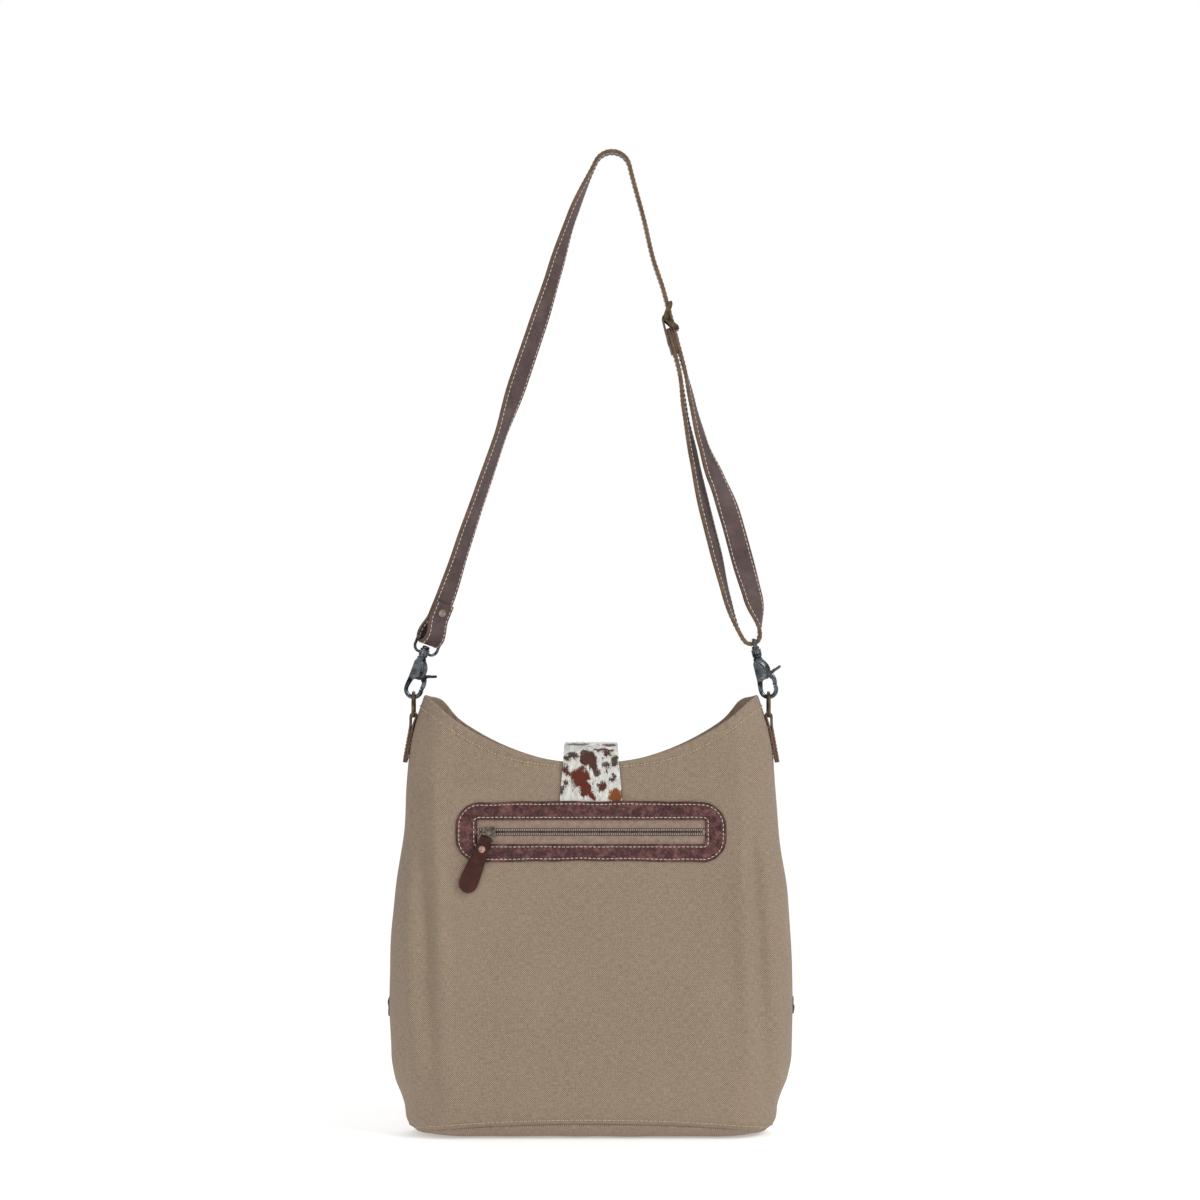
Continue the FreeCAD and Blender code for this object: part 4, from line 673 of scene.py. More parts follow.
def canvas_spot(column, height, low, face):
    """A spot of the outer face, tucked in along the base seam."""
    seam = 1 - ease(height - low, 0.0, 0.006)
    return on_cloth(column, height, face, -SEAM_TUCK * seam * seam)[0]


def hem_spot(column, top, face, inward, rise):
    """A spot of the folded hem, moved in and up from the top of the outer face."""
    shift = cloth_shift(wall_point(column, top, face)[0].x, top, face)
    inner, out = wall_point(column, top + rise, face)
    return inner + out * (shift - inward)


def behind_zip(spot):
    """Whether a spot lies in the zip's window."""
    return abs(spot.x) < WINDOW_HALF and WINDOW_LOW < spot.z < WINDOW_HIGH


def canvas_panel(face):
    """One side of the bag from the base seam up, folded over along the mouth and hemmed inside."""
    columns = canvas_columns()
    lines = [canvas_rows(column, face) for column in columns]
    rows, uvs = [], []
    for heights in zip(*lines):
        rows.append([canvas_spot(column, height, line[0], face)
                     for column, height, line in zip(columns, heights, lines)])
        uvs.append([(section_spot(column, height)[0], height) for column, height in zip(columns, heights)])
    # Distance inwards, rise, and cloth used up, first round the fold and then down the hem
    folds = []
    for angle in (30, 60, 90, 120, 150, 180):
        x, y = polar(FOLD_RADIUS, angle)
        folds.append((FOLD_RADIUS - x, y, FOLD_TRAVEL * angle / 180))
    folds += [(2 * FOLD_RADIUS, -drop, FOLD_TRAVEL + drop) for drop in spread(0.002, HEM + 0.0015, 7)]
    rim = uvs[-1]
    for inward, rise, travel in folds:
        rows.append([hem_spot(column, line[-1], face, inward, rise) for column, line in zip(columns, lines)])
        uvs.append([(run, height + travel) for run, height in rim])
    mesh = sheet(rows, uvs)
    if face < 0:
        with editing(mesh) as work:
            window = [part for part in work.faces if behind_zip(part.calc_center_median())]
            bmesh.ops.delete(work, geom=window, context="FACES")
    else:
        mesh.flip_normals()
    name, node = CANVAS_SIDES[face]
    new_piece(name, thickened(mesh, CANVAS_THICK), [canvas_paint], "bag", [node])


def base_spot(point, out, share):
    """A spot of the base between its rim and its middle line."""
    middle = Vector((max(-0.118, min(0.118, point.x * 0.72)), 0, 0))
    flat = Vector((point.x, point.y, 0)).lerp(middle, share ** 1.25)
    roll = 0.0020 * math.sin(math.pi * min(1.0, share * 5))
    height = 0.0005 + (point.z - 0.0005) * (1 - ease(share, 0.0, 0.30)) + 0.0007 * ease(share, 0.3, 1.0)
    crease = 0.0006 * ripple(flat, 0.03, 4.4) * ease(share, 0.1, 0.3)
    return flat + UPWARD * (height + max(crease, -0.0004)) + out * roll


def base_panel():
    """The canvas base: it hangs in a shallow bowl from the seam all round."""
    around = [(column, -1) for column in spread(-1.0, 1.0, 161)]
    around += [(column, 1) for column in spread(1.0, -1.0, 161)[1:-1]]
    rims = [wall_point(column, seam_height(section_spot(column, 0.02)[1]), face, SEAM_TUCK)
            for column, face in around]
    rows = [[base_spot(point, out, share) for point, out in rims] for share in spread(0, 1, 15)]
    mesh = sheet(rows, [[(spot.x, spot.y) for spot in row] for row in rows], wrap=True)
    with editing(mesh) as work:
        bmesh.ops.remove_doubles(work, verts=list(work.verts)[-len(rims):], dist=0.0001)
        face_out(work)
    if sum(face.normal.z * face.area for face in mesh.polygons) > 0:
        mesh.flip_normals()
    new_piece("canvas_base", thickened(mesh, BASE_THICK), [canvas_paint], "bag", ["base_panel"])


def lining_spot(column, share, face):
    """A spot of the lining, from the hem at share nought to its foot at one."""
    top = mouth_on(column, face, HEM - MM)
    height = top + (0.0085 - top) * share
    loose = 0.0026 if abs(column) > 0.9 else 0.0052
    point, out = wall_point(column, height, face, 0.0034 + loose * ease(top - height, 0.0, 0.030))
    sag = MM * ripple(point, 0.030, 5.0 + face) * ease(top - height, 0.01, 0.05)
    return point - out * abs(sag)


def lining_bag():
    """The loose cotton lining, sewn under the hem and hanging free of the canvas below it."""
    halves = []
    for face in (-1, 1):
        rows = [[lining_spot(column, share, face) for column in spread(-1.0, 1.0, 91)]
                for share in spread(0, 1, 40)]
        # Two last rows draw the foot in to the middle line
        for deep, height in ((0.9, 0.0040), (0.0, 0.0038)):
            rows.append([Vector((point.x * 0.95, point.y * deep, height)) for point in rows[39]])
        halves.append(sheet(rows))
    with editing(*halves) as work:
        bmesh.ops.remove_doubles(work, verts=work.verts, dist=0.00002)
        face_out(work)
    new_piece("lining_cotton", thickened(halves[0], LINING_THICK, 0.0), [lining_paint], "bag",
              ["lining"])


def pocket_spot(across, inset, height):
    """A spot of the pocket, an inset behind the wall; its two sheets meet along the upright edges."""
    pinch = ease(abs(across), 0.098, POCKET_HALF)
    return Vector((across, inset + (0.0047 - inset) * pinch - through(HALF_DEPTHS, height), height))


def pocket_bag():
    """The zip's cotton pocket: a flat pouch whose mouth stands open behind the tapes."""
    # Distance behind the wall, and height
    line = [(0.0026, 0.2585), (0.0024, 0.24), (0.0024, 0.20), (0.0024, 0.16), (0.0026, 0.137),
            (0.0036, 0.1318), (0.0048, 0.1312), (0.0060, 0.1325), (0.0068, 0.138)]
    line += [(0.0070, height) for height in spread(0.16, 0.27, 8)]
    line += [(0.0070, 0.2915), (0.0060, 0.2975), (0.0048, 0.2988), (0.0036, 0.2975), (0.0028, 0.2915)]
    rows = [[pocket_spot(across, *place) for across in spread(-POCKET_HALF, POCKET_HALF, 45)]
            for place in line]
    new_piece("zip_pocket_cotton", thickened(sheet(rows), POCKET_THICK, 0.0), [lining_paint], "bag",
              ["zip_pocket_bag"])


def wall_line(face, heights, lift, columns):
    """Spots (point, outward) along a level-ish line of one side; heights is a function of the column."""
    return [on_cloth(column, heights(column), face, lift) for column in columns]


def canvas_stitching():
    """Hem and base stitching on both sides."""
    thread = Thread()
    columns = spread(-0.985, 0.985, 420)

    def base_line(column):
        return seam_height(section_spot(column, 0.02)[1]) + 0.0042

    for face in (-1, 1):
        def hem_line(column):
            across = wall_point(column, mouth_on(column, face), face)[0].x
            return mouth_on(column, face, through(HEM_DEPTHS, abs(across)))

        thread.run(wall_line(face, hem_line, 0.00048, columns), HEM_STITCH)
        thread.run(wall_line(face, base_line, 0.0, columns), SEAM_STITCH)
    thread.finish("canvas_stitching", canvas_thread_paint, "bag")


canvas_panel(-1)
canvas_panel(1)
base_panel()
lining_bag()
pocket_bag()
canvas_stitching()


# ------------------------------------------------------------------
# The zip: leather frame, tapes, coils and pull
# ------------------------------------------------------------------
FRAME_BACK, TAPE_BACK, SHADE_STRIP_BACK, COIL_BACK = -0.0360, -0.03545, -0.03612, -0.03632
FRAME_HALF, FRAME_RISE, FRAME_CORNER = 0.122, 0.027, 0.022
OPEN_HALF, OPEN_RISE, OPEN_CORNER = 0.103, 0.011, 0.002
LONG_POINTS, SHORT_POINTS, CORNER_POINTS = 110, 8, 14
FRAME_STITCH = (0.0040, 0.0032, 0.00036)
COIL_PITCH, COIL_LENGTH, COIL_RADIUS = 0.0019, 0.0021, 0.00048
ZIP_ROWS = (("upper", 1), ("lower", -1))
LINK_PIVOT = Vector((-0.092, -0.0404, 0.275))
LINK_BAR, PULL_LEAN, PULL_GAP, PULL_HALF, PULL_NECK = -0.0064, 22, 0.00155, 0.0085, 0.0054
# Strips: half width, half thickness, corner and, where their faces swell, the swell
TAPE_SECTION, SHADE_STRIP_SECTION = (0.0050, 0.00035, 0.0002), (0.00125, 0.00015, 0.0001)
PULL_SECTION = (PULL_HALF, 0.0006, 0.00045)


def rounded_loop(half, rise, corner):
    """Points (across, up) round a rounded rectangle about the zip, as many for every size."""
    reach, lift = half - corner, rise - corner
    loop = []
    corners = ((-90, reach, -lift), (0, reach, lift), (90, -reach, lift), (180, -reach, -lift))
    for start, across, up in corners:
        for step in range(CORNER_POINTS):
            x, y = polar(corner, start + 90 * step / CORNER_POINTS)
            loop.append((across + x, up + y))
        x, y = polar(corner, start + 90)
        way = polar(1, start + 180)
        count, span = (SHORT_POINTS, 2 * lift) if start in (-90, 90) else (LONG_POINTS, 2 * reach)
        for step in range(count):
            gone = span * step / count
            loop.append((across + x + way[0] * gone, up + y + way[1] * gone))
    return loop


def frame_spot(outer, inner, share, lift):
    """A spot of the frame between its outer and inner outlines, standing a lift off the canvas."""
    across = outer[0] + (inner[0] - outer[0]) * share
    rise = outer[1] + (inner[1] - outer[1]) * share
    place = (across, 0, rise)
    bow = 0.0016 * (1 - (across / FRAME_HALF) ** 2) * (1 - ease(share, 0.55, 1.0)) - 0.0008
    uneven = 0.0006 * ripple(place, 0.020, 9.0) * (1 - ease(share, 0.7, 1.0))
    depth = FRAME_BACK - lift - max(0.0, 0.0002 * ripple(place, 0.012, 2.0)) * min(1, lift * 900)
    over_tab = (1 - ease(abs(across), 0.0285, 0.0335)) * ease(rise, 0.0165, 0.0205)
    depth -= 0.0016 * over_tab * (0.55 if lift < 0.0005 else 1.0)
    return Vector((across, depth, ZIP_HEIGHT + rise + bow * (1 - share) + uneven))


def zip_frame():
    """The leather frame: one soft ring, thickest in the middle of its band, with its edges rolled down."""
    outer = rounded_loop(FRAME_HALF, FRAME_RISE, FRAME_CORNER)
    inner = rounded_loop(OPEN_HALF, OPEN_RISE, OPEN_CORNER)
    # Share of the way from the outer to the inner outline, and height off the canvas
    steps = [(0.0, 0.0001), (0.0, 0.0008), (0.015, 0.0013), (0.05, 0.0016), (0.13, 0.0016), (0.17, 0.0012),
             (0.21, 0.0017), (0.35, 0.0020), (0.5, 0.0021), (0.65, 0.0020), (0.80, 0.0017), (0.84, 0.0012),
             (0.88, 0.0016), (0.95, 0.0016), (0.985, 0.0013), (1.0, 0.0008), (1.0, 0.0001), (0.0, 0.0001)]
    mesh = sheet([[frame_spot(a, b, *step) for a, b in zip(outer, inner)] for step in steps], wrap=True)
    with editing(mesh) as work:
        bmesh.ops.remove_doubles(work, verts=work.verts, dist=0.00002)
        face_out(work)
    new_piece("zip_frame_leather", mesh, [frame_paint], "bag", ["zip_frame"])
    thread = Thread()
    for share in (0.15, 0.86):
        spots = [(frame_spot(a, b, share, 0.0013), -TO_BACK) for a, b in zip(outer, inner)]
        thread.run(spots + spots[:1], FRAME_STITCH)
    thread.finish("zip_frame_stitching", thread_paint, "bag")


def zip_tapes():
    """Two woven tapes with fine cross ribs."""
    for name, sign in ZIP_ROWS:
        stations = []
        for across in spread(-0.104, 0.104, 521):
            rib = 0.00008 * wave(across, 0.0016)
            sag = 0.00016 * ripple((across, sign, 0), 0.02, 6.0)
            middle = Vector((across, TAPE_BACK - rib - sag, ZIP_HEIGHT + sign * 0.00775))
            stations.append((middle, UPWARD, -TO_BACK, 1.0))
        new_piece(f"zip_tape_{name}_weave", ribbon(stations, *TAPE_SECTION), [tape_paint, tape_paint], "bag",
                  [f"zip_tape_{name}"])


def zip_coils():
    """The two rows of coil turns beside the meeting line, each over a dark strip of painted shade."""
    for name, sign in ZIP_ROWS:
        # A dark strip under each row of coil turns stands for the shade there: painted shade, not a part of
        # the zip
        stations = [(Vector((across, SHADE_STRIP_BACK, ZIP_HEIGHT + sign * 0.0021)), UPWARD, -TO_BACK, 1.0)
                    for across in spread(-0.1038, 0.1038, 120)]
        new_piece(f"zip_coil_shadow_{name}", ribbon(stations, *SHADE_STRIP_SECTION), [coil_shade_paint, coil_shade_paint],
                  "bag")
        thread = Thread()
        slant = Vector((0.22, 0, sign)).normalized()
        for across in np.arange(-0.1034, 0.1036, COIL_PITCH):
            middle = Vector((across, COIL_BACK, ZIP_HEIGHT + sign * 0.0019))
            thread.stitch(middle, slant, -TO_BACK, COIL_LENGTH, COIL_RADIUS)
        thread.finish(f"zip_coil_{name}", coil_paint, "bag")


def pull_half(drop, from_start, from_end):
    """Half the pull's width at a drop below the bar; both of its ends are rounded."""
    if from_end < PULL_HALF:
        return math.sqrt(max(PULL_HALF ** 2 - (PULL_HALF - from_end) ** 2, 0.0006 ** 2))
    half = PULL_NECK + (PULL_HALF - PULL_NECK) * ease(drop, -0.002, 0.040)
    if from_start < from_end and drop > 0.0215:
        half *= math.sqrt(max(0.35, 1 - ((drop - 0.0215) / 0.0029) ** 2 * 0.6))
    return half


def zip_pull():
    """The leather pull: a strip folded over the link's bar, its long end rounded."""
    line = [(0, -PULL_GAP, LINK_BAR - drop) for drop in (0.024, 0.018, 0.012, 0.006, 0.002)]
    for angle in (0, 30, 60, 90, 120, 150, 180):
        x, y = polar(PULL_GAP, angle)
        line.append((0, -x, LINK_BAR + y))
    line += [(0, PULL_GAP, LINK_BAR - drop)
             for drop in (0.003, 0.008, 0.014, 0.020, 0.028, 0.036, 0.044, 0.052)]
    spots, ways = smooth_path(line, 150)
    run = distances(spots)
    stations = []
    for spot, way, travelled in zip(spots, ways, run):
        half = pull_half(LINK_BAR - spot.z, travelled, run[-1] - travelled)
        up = way.cross(TO_RIGHT).normalized()
        lift = 0.00012 * ripple((0, 0, travelled), 0.01, 1.0)
        stations.append((spot + up * lift, TO_RIGHT, up, half / PULL_HALF))
    mesh = ribbon(stations, *PULL_SECTION)
    mesh.transform(Matrix.Translation(LINK_PIVOT) @ Matrix.Rotation(math.radians(PULL_LEAN), 4, "Y"))
    new_piece("zip_pull_leather", mesh, [pull_paint, pull_paint], "pull", ["zip_pull"])


zip_frame()
zip_tapes()
zip_coils()
zip_pull()


# ------------------------------------------------------------------
# Hair-on hide: the closure tab over the mouth and the yoke on the front
# ------------------------------------------------------------------
# Patches on the tab by colour, in metres: across, length along the hide, half across, half along
TAB_PATCHES = {
    RUST: [(-0.0094, 0.3240, 0.0088, 0.0105), (-0.0045, 0.3130, 0.0052, 0.0075),
           (0.0015, 0.3075, 0.0048, 0.0032), (-0.0180, 0.3275, 0.0050, 0.0032),
           (-0.010, 0.4050, 0.0110, 0.0130), (0.004, 0.4560, 0.0160, 0.0080)],
    PLUM_HAIR: [(-0.0235, 0.3310, 0.0038, 0.0034), (-0.0030, 0.3415, 0.0080, 0.0086),
                (0.0020, 0.3350, 0.0046, 0.0044), (0.0120, 0.3512, 0.0105, 0.0026),
                (0.0144, 0.3465, 0.0042, 0.0026), (0.0106, 0.3172, 0.0046, 0.0042),
                (0.0175, 0.3650, 0.0078, 0.0060)],
    DARK_HAIR: [(-0.0183, 0.3430, 0.0076, 0.0030), (-0.0120, 0.3680, 0.0120, 0.0066),
                (0.0212, 0.3392, 0.0036, 0.0050), (0.0144, 0.3340, 0.0042, 0.0032),
                (0.0056, 0.3296, 0.0030, 0.0040), (0.0191, 0.3240, 0.0036, 0.0034),
                (-0.0234, 0.3196, 0.0030, 0.0034), (-0.0270, 0.3130, 0.0030, 0.0032),
                (0.012, 0.4300, 0.0100, 0.0110)],
    OCHRE_HAIR: [(0.0222, 0.3075, 0.0072, 0.0080)]}
tab_hide_paint = paint_hide("tab_hide", TAB_PATCHES)
yoke_hide_paint = paint_hide("yoke_hide", {})
TAB_LOW, TAB_HINGE, TAB_HALF = 0.2975, Vector((0, -0.0374, 0.338)), 0.0283
TAB_SECTION, BACKING_SECTION = (TAB_HALF, 0.0006, 0.0004, 0.0001), (TAB_HALF, 0.00045, 0.0003)
BRAID_SECTION = (0.0068, 0.0008, 0.0006, 0.0003)
HAIRS_ACROSS, HAIR_ROOT = 30, 0.00062
# The middle line of the tab, depth and height, from under the zip frame over the mouth to the front
TAB_LINE = [(-0.0366, 0.2975), (-0.0367, 0.3010), (-0.0372, 0.3080), (-0.0374, 0.325), (-0.0378, 0.3375),
            (-0.0372, 0.3425), (-0.0325, 0.3476), (-0.0250, 0.3507), (-0.0115, 0.3526), (0.0040, 0.3532),
            (0.0180, 0.3524), (0.0310, 0.3482), (0.0400, 0.3420), (0.0434, 0.3350), (0.0437, 0.320),
            (0.0437, 0.304), (0.0435, 0.2866)]
YOKE_LOW, YOKE_LEVELS, YOKE_THICK, YOKE_STITCH = 0.268, 45, 0.0009, (0.0042, 0.0034, 0.00038)
SOCKET_HEIGHT, SOCKET_REACH = 0.304, 0.0095


def hair(name, roots, paint, body, length, wide, seed, lean=0.26):
    """Short flat hairs; roots is a list of (point, normal, way, uv)."""
    points, faces, uvs = [], [], []
    for number, (point, normal, way, uv) in enumerate(roots):
        turn = 0.35 * noise.noise(Vector((uv[0] * 130, uv[1] * 130, seed)))
        turn += 0.25 * noise.noise(Vector((number * 0.731, seed, 0.5)))
        side = normal.cross(way).normalized()
        along = (way * math.cos(turn) + side * math.sin(turn)).normalized()
        cross = normal.cross(along).normalized()
        reach = length * (0.8 + 0.4 * noise.noise(Vector((number * 0.377, 0.2, seed))))
        first = len(points)
        for share, rise, breadth in ((0.0, -0.02, 1.0), (0.5, lean * 0.55, 0.8), (1.0, lean, 0.12)):
            spot = point + along * (reach * share) + normal * (reach * rise)
            points += [spot - cross * (wide * breadth / 2), spot + cross * (wide * breadth / 2)]
        uvs += [uv] * 6
        faces += [(low, low + 1, low + 3, low + 2) for low in (first, first + 2)]
    return new_piece(name, raw_mesh(points, faces, uvs), [paint], body, smooth=False)


def tab_half(travelled):
    """Half the tab's width along its length."""
    return TAB_HALF - (TAB_HALF - 0.0243) * ease(travelled, 0.0, 0.058) - 0.0023 * ease(travelled, 0.06, 0.19)


def closure_tab():
    """The hide in one piece from the sewn end to the magnet end, its leather backing, and its hair."""
    spots, ways = smooth_path([(0, *place) for place in TAB_LINE], 150)
    stations, backs, roots = [], [], []
    for index, (spot, way, travelled) in enumerate(zip(spots, ways, distances(spots))):
        up = -way.cross(TO_RIGHT).normalized()
        if up.dot(spot - UPWARD * 0.300) < 0:
            up = -up
        half = tab_half(travelled)
        stations.append((spot, TO_RIGHT, up, half / TAB_HALF))
        if travelled > 0.0445:
            backs.append((spot - up * 0.0012, TO_RIGHT, up, half / TAB_HALF * 0.985))
        if travelled <= 0.0045:
            continue
        forward = way if travelled > 0.068 else -way
        for number in range(HAIRS_ACROSS):
            shake = 0.5 * noise.noise(Vector((index * 1.37, number * 2.11, 3.0)))
            across = ((number + 0.5 + shake) / HAIRS_ACROSS * 2 - 1) * half * 0.985
            root = spot + TO_RIGHT * across + up * HAIR_ROOT
            roots.append((root, up, forward, (across, TAB_LOW + travelled)))
    mesh = ribbon(stations, *TAB_SECTION, uv_start=TAB_LOW)
    hide = new_piece("closure_tab_hide", mesh, [tab_hide_paint, back_paint], None,
                     ["closure_tab_base", "closure_tab"])
    coat = hair("closure_tab_hair", roots, tab_hide_paint, None, 0.0034, 0.00034, 1.0)
    for made in (hide, coat):
        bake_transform(made)
    new_piece("closure_tab_lining", ribbon(backs, *BACKING_SECTION), [back_paint, back_paint], "flap",
              ["closure_tab_backing"])


def front_yoke():
    """The hair-on hide band across the top of the front."""
    columns = spread(-0.93, 0.93, 240)
    rows, uvs, roots = [], [], []
    for level in range(YOKE_LEVELS + 1):
        row, pairs = [], []
        for column in columns:
            height = YOKE_LOW + (mouth_on(column, 1, 0.0050) - YOKE_LOW) * level / YOKE_LEVELS
            edge = min(level, YOKE_LEVELS - level) / 3
            row.append(on_cloth(column, height, 1, YOKE_THICK * min(1.0, 0.4 + edge))[0])
            pairs.append((section_spot(column, height)[0], height))
        rows.append(row)
        uvs.append(pairs)
    mesh = sheet(rows, uvs)
    mesh.flip_normals()
    new_piece("front_yoke_hide", thickened(mesh, YOKE_THICK), [yoke_hide_paint], "bag",
              ["front_hide_yoke"])
    for level, (row, above) in enumerate(zip(rows, rows[1:])):
        for number in range(len(columns) - 1):
            shake = 0.5 + 0.45 * noise.noise(Vector((level * 1.7, number * 1.3, 8.0)))
            root = row[number].lerp(above[number + 1], shake)
            normal = (row[number + 1] - row[number]).cross(above[number] - row[number]).normalized()
            if normal.dot(Vector((root.x, root.y * 3, 0))) < 0:
                normal = -normal
            if math.hypot(root.x, root.z - SOCKET_HEIGHT) > SOCKET_REACH:
                roots.append((root, normal, -UPWARD, uvs[level][number]))
    hair("front_yoke_hair", roots, yoke_hide_paint, "bag", 0.0042, 0.00050, 2.0, lean=0.16)
    thread = Thread()
    edge_line = wall_line(1, lambda column: YOKE_LOW, 0.0011, spread(-0.93, 0.93, 300))
    thread.run([(point + UPWARD * 0.0028 + out * 0.0001, out) for point, out in edge_line], YOKE_STITCH)
    thread.finish("front_yoke_stitching", thread_paint, "bag")


def front_braid():
    """Three flat leather strands plaited across the front from side seam to side seam."""
    period, swing, lift, level = 0.044, 0.0105, 0.0011, 0.1125
    for strand_number in range(3):
        spots, outs = [], []
        for column in spread(-0.955, 0.955, 540):
            phase = section_spot(column, level)[0] * 2 * math.pi / period + strand_number * 2 * math.pi / 3
            calm = 1 - 0.55 * ease(abs(column), 0.84, 0.935)
            stand = 0.0012 + lift * (1 + math.sin(2 * phase)) * calm
            spot, out = on_cloth(column, level + swing * calm * math.sin(phase), 1, stand)
            spots.append(spot)
            outs.append(out)
        stations = []
        for spot, out, way, share in zip(spots, outs, directions(spots), spread(-1, 1, len(spots))):
            side = out.cross(way).normalized()
            narrow = 1 - 0.35 * ease(abs(share), 0.88, 1.0)
            stations.append((spot, side, way.cross(side).normalized(), narrow))
        # The first strand stands for the whole braid of the CAD
        nodes = ["front_braid"] if strand_number == 0 else []
        new_piece(f"front_braid_strand_{strand_number + 1}", ribbon(stations, *BRAID_SECTION),
                  [braid_paint, braid_paint], "bag", nodes)


closure_tab()
front_yoke()
front_braid()


# ------------------------------------------------------------------
# Side tabs
# ------------------------------------------------------------------
RING_PLACE, RING_BAR, SIDE_SLOPE = 0.1618, 0.3784, 10.5
TAB_LOOP, TAB_LEG = 0.00255, 0.00093
SIDE_TAB_SECTION, SIDE_TAB_STITCH = (0.0090, 0.00088, 0.0006, 0.00008), (0.0033, 0.0026, 0.00032)


def side_tab(hand):
    """A leather strip looped through the D-ring, its legs sewn together over the side seam."""
    sign = -1 if hand == "left" else 1
    turn = (Matrix.Translation((sign * RING_PLACE, 0, RING_BAR))
            @ Matrix.Rotation(math.radians(-sign * SIDE_SLOPE), 4, "Y"))
    leg = [(TAB_LEG, -0.0428), (TAB_LEG, -0.034), (TAB_LEG, -0.024), (TAB_LEG + 0.0001, -0.014),
           (0.0016, -0.0065)]
    line = leg + [polar(TAB_LOOP, angle) for angle in (-15, 20, 55, 90, 125, 160, 195)]
    line += [(-x, z) for x, z in reversed(leg)]
    spots, ways = smooth_path([(x, 0, z) for x, z in line], 150)
    stations = []
    for spot, way in zip(spots, ways):
        up = TO_BACK.cross(way).normalized()
        uneven = 0.00015 * ripple(spot, 0.012, 4.0 * sign)
        stations.append((spot + up * uneven, TO_BACK, up, 1.0 - 0.05 * bump(spot.z, -0.008, 0.008)))
    mesh = ribbon(stations, *SIDE_TAB_SECTION)
    mesh.transform(turn)
    new_piece(f"{hand}_side_tab_leather", mesh, [tab_paint, tab_edge_paint], "bag",
              [f"{hand}_side_tab"])
    thread = Thread()
    box = [(-0.0066, -0.0125), (-0.0066, -0.0402), (0.0066, -0.0402), (0.0066, -0.0125), (-0.0066, -0.0125)]
    for face in (-1, 1):
        for ends in zip(box, box[1:]):
            spots = [(turn @ Vector((face * 0.00195, y, z)), turn.to_3x3() @ Vector((face, 0, 0)))
                     for y, z in ends]
            thread.run(spots, SIDE_TAB_STITCH)
    thread.finish(f"{hand}_side_tab_stitching", thread_paint, "bag")


for one_hand in HANDS:
    side_tab(one_hand)


# ------------------------------------------------------------------
# The strap
# ------------------------------------------------------------------
STRAP_HALF, STRAP_THICK = 0.0100, 0.0030
CLAW_MIDDLES = {"left": Vector((-0.1618, 0, 0.40245)), "right": Vector((0.1618, 0, 0.40245))}
LEANS = {"left": 22, "right": -12}
STEM_PLACE, EYE_BAR, LOOP_INNER = -0.0038, 0.047, 0.0016
FOLD_ROUND, FOLD_PINCH, FOLD_GAP = 0.006, 0.023, 0.00005
LOOP_ROUND, LOOP_SHIFT = 0.0065, -0.0025
LEFT_YAW = 55
PEG, PEG_RADIUS = Vector((0.019, 0, 0.876)), 0.015
BUCKLE, BUCKLE_LEAN, TAIL_DROP = Vector((0.0725, 0, 0.742)), 15, 0.0050
STITCH_ACROSS, STITCH_LIFT, STRAP_STITCH = 0.0077, 0.00008, (0.0043, 0.0034, 0.00036)
STRAP_SECTION = (STRAP_HALF, STRAP_THICK / 2, 0.0008, 0.0002)
END_SECTION = (STRAP_HALF, 0.00072, 0.0005, 0.0001)


def heading(degrees):
    """The unit direction in the purse's plane at that angle from upright, positive to the right."""
    return Vector((math.sin(math.radians(degrees)), 0, math.cos(math.radians(degrees))))


def outward(way):
    """The direction square to the travel on the outer side of the strap's loop."""
    return Vector((-way.z, 0, way.x))


def hook_place(hand):
    """The matrix that sets a hook on its lean about the middle of its claw."""
    return Matrix.Translation(CLAW_MIDDLES[hand]) @ Matrix.Rotation(math.radians(LEANS[hand]), 4, "Y")


def eye_point(hand):
    """The middle of the eye's top bar."""
    return hook_place(hand) @ Vector((STEM_PLACE, 0, EYE_BAR))


def strand(start, start_way, finish, finish_way, between, turns, count):
    """Stations of one hanging length: through points given as (x, z), turning about its line."""
    spots = [start, *(Vector((across, 0, height)) for across, height in between), finish]
    run = distances(spots)
    line = spline(run, np.array([tuple(spot) for spot in spots]), start_way, finish_way)
    stations = []
    for share in np.linspace(0, 1, count):
        place = share * run[-1]
        way = (Vector(line(min(place + 1e-4, run[-1]))) - Vector(line(max(place - 1e-4, 0.0)))).normalized()
        before = min(int(share * (len(turns) - 1)), len(turns) - 2)
        part = ease(share * (len(turns) - 1), before, before + 1)
        turn = math.radians(turns[before] + (turns[before + 1] - turns[before]) * part)
        up = outward(way) * math.cos(turn) - TO_BACK * math.sin(turn)
        stations.append((Vector(line(place)), way.cross(up).normalized(), up.normalized(), 1.0))
    return stations


def bend(middle, radius, start, finish, count):
    """Stations clockwise round a level axis, from one angle to another in degrees from +X towards +Z."""
    stations = []
    for angle in spread(start, finish, count):
        x, z = polar(1, angle)
        up = Vector((x, 0, z))
        stations.append((middle + up * radius, Vector((z, 0, -x)).cross(up).normalized(), up, 1.0))
    return stations


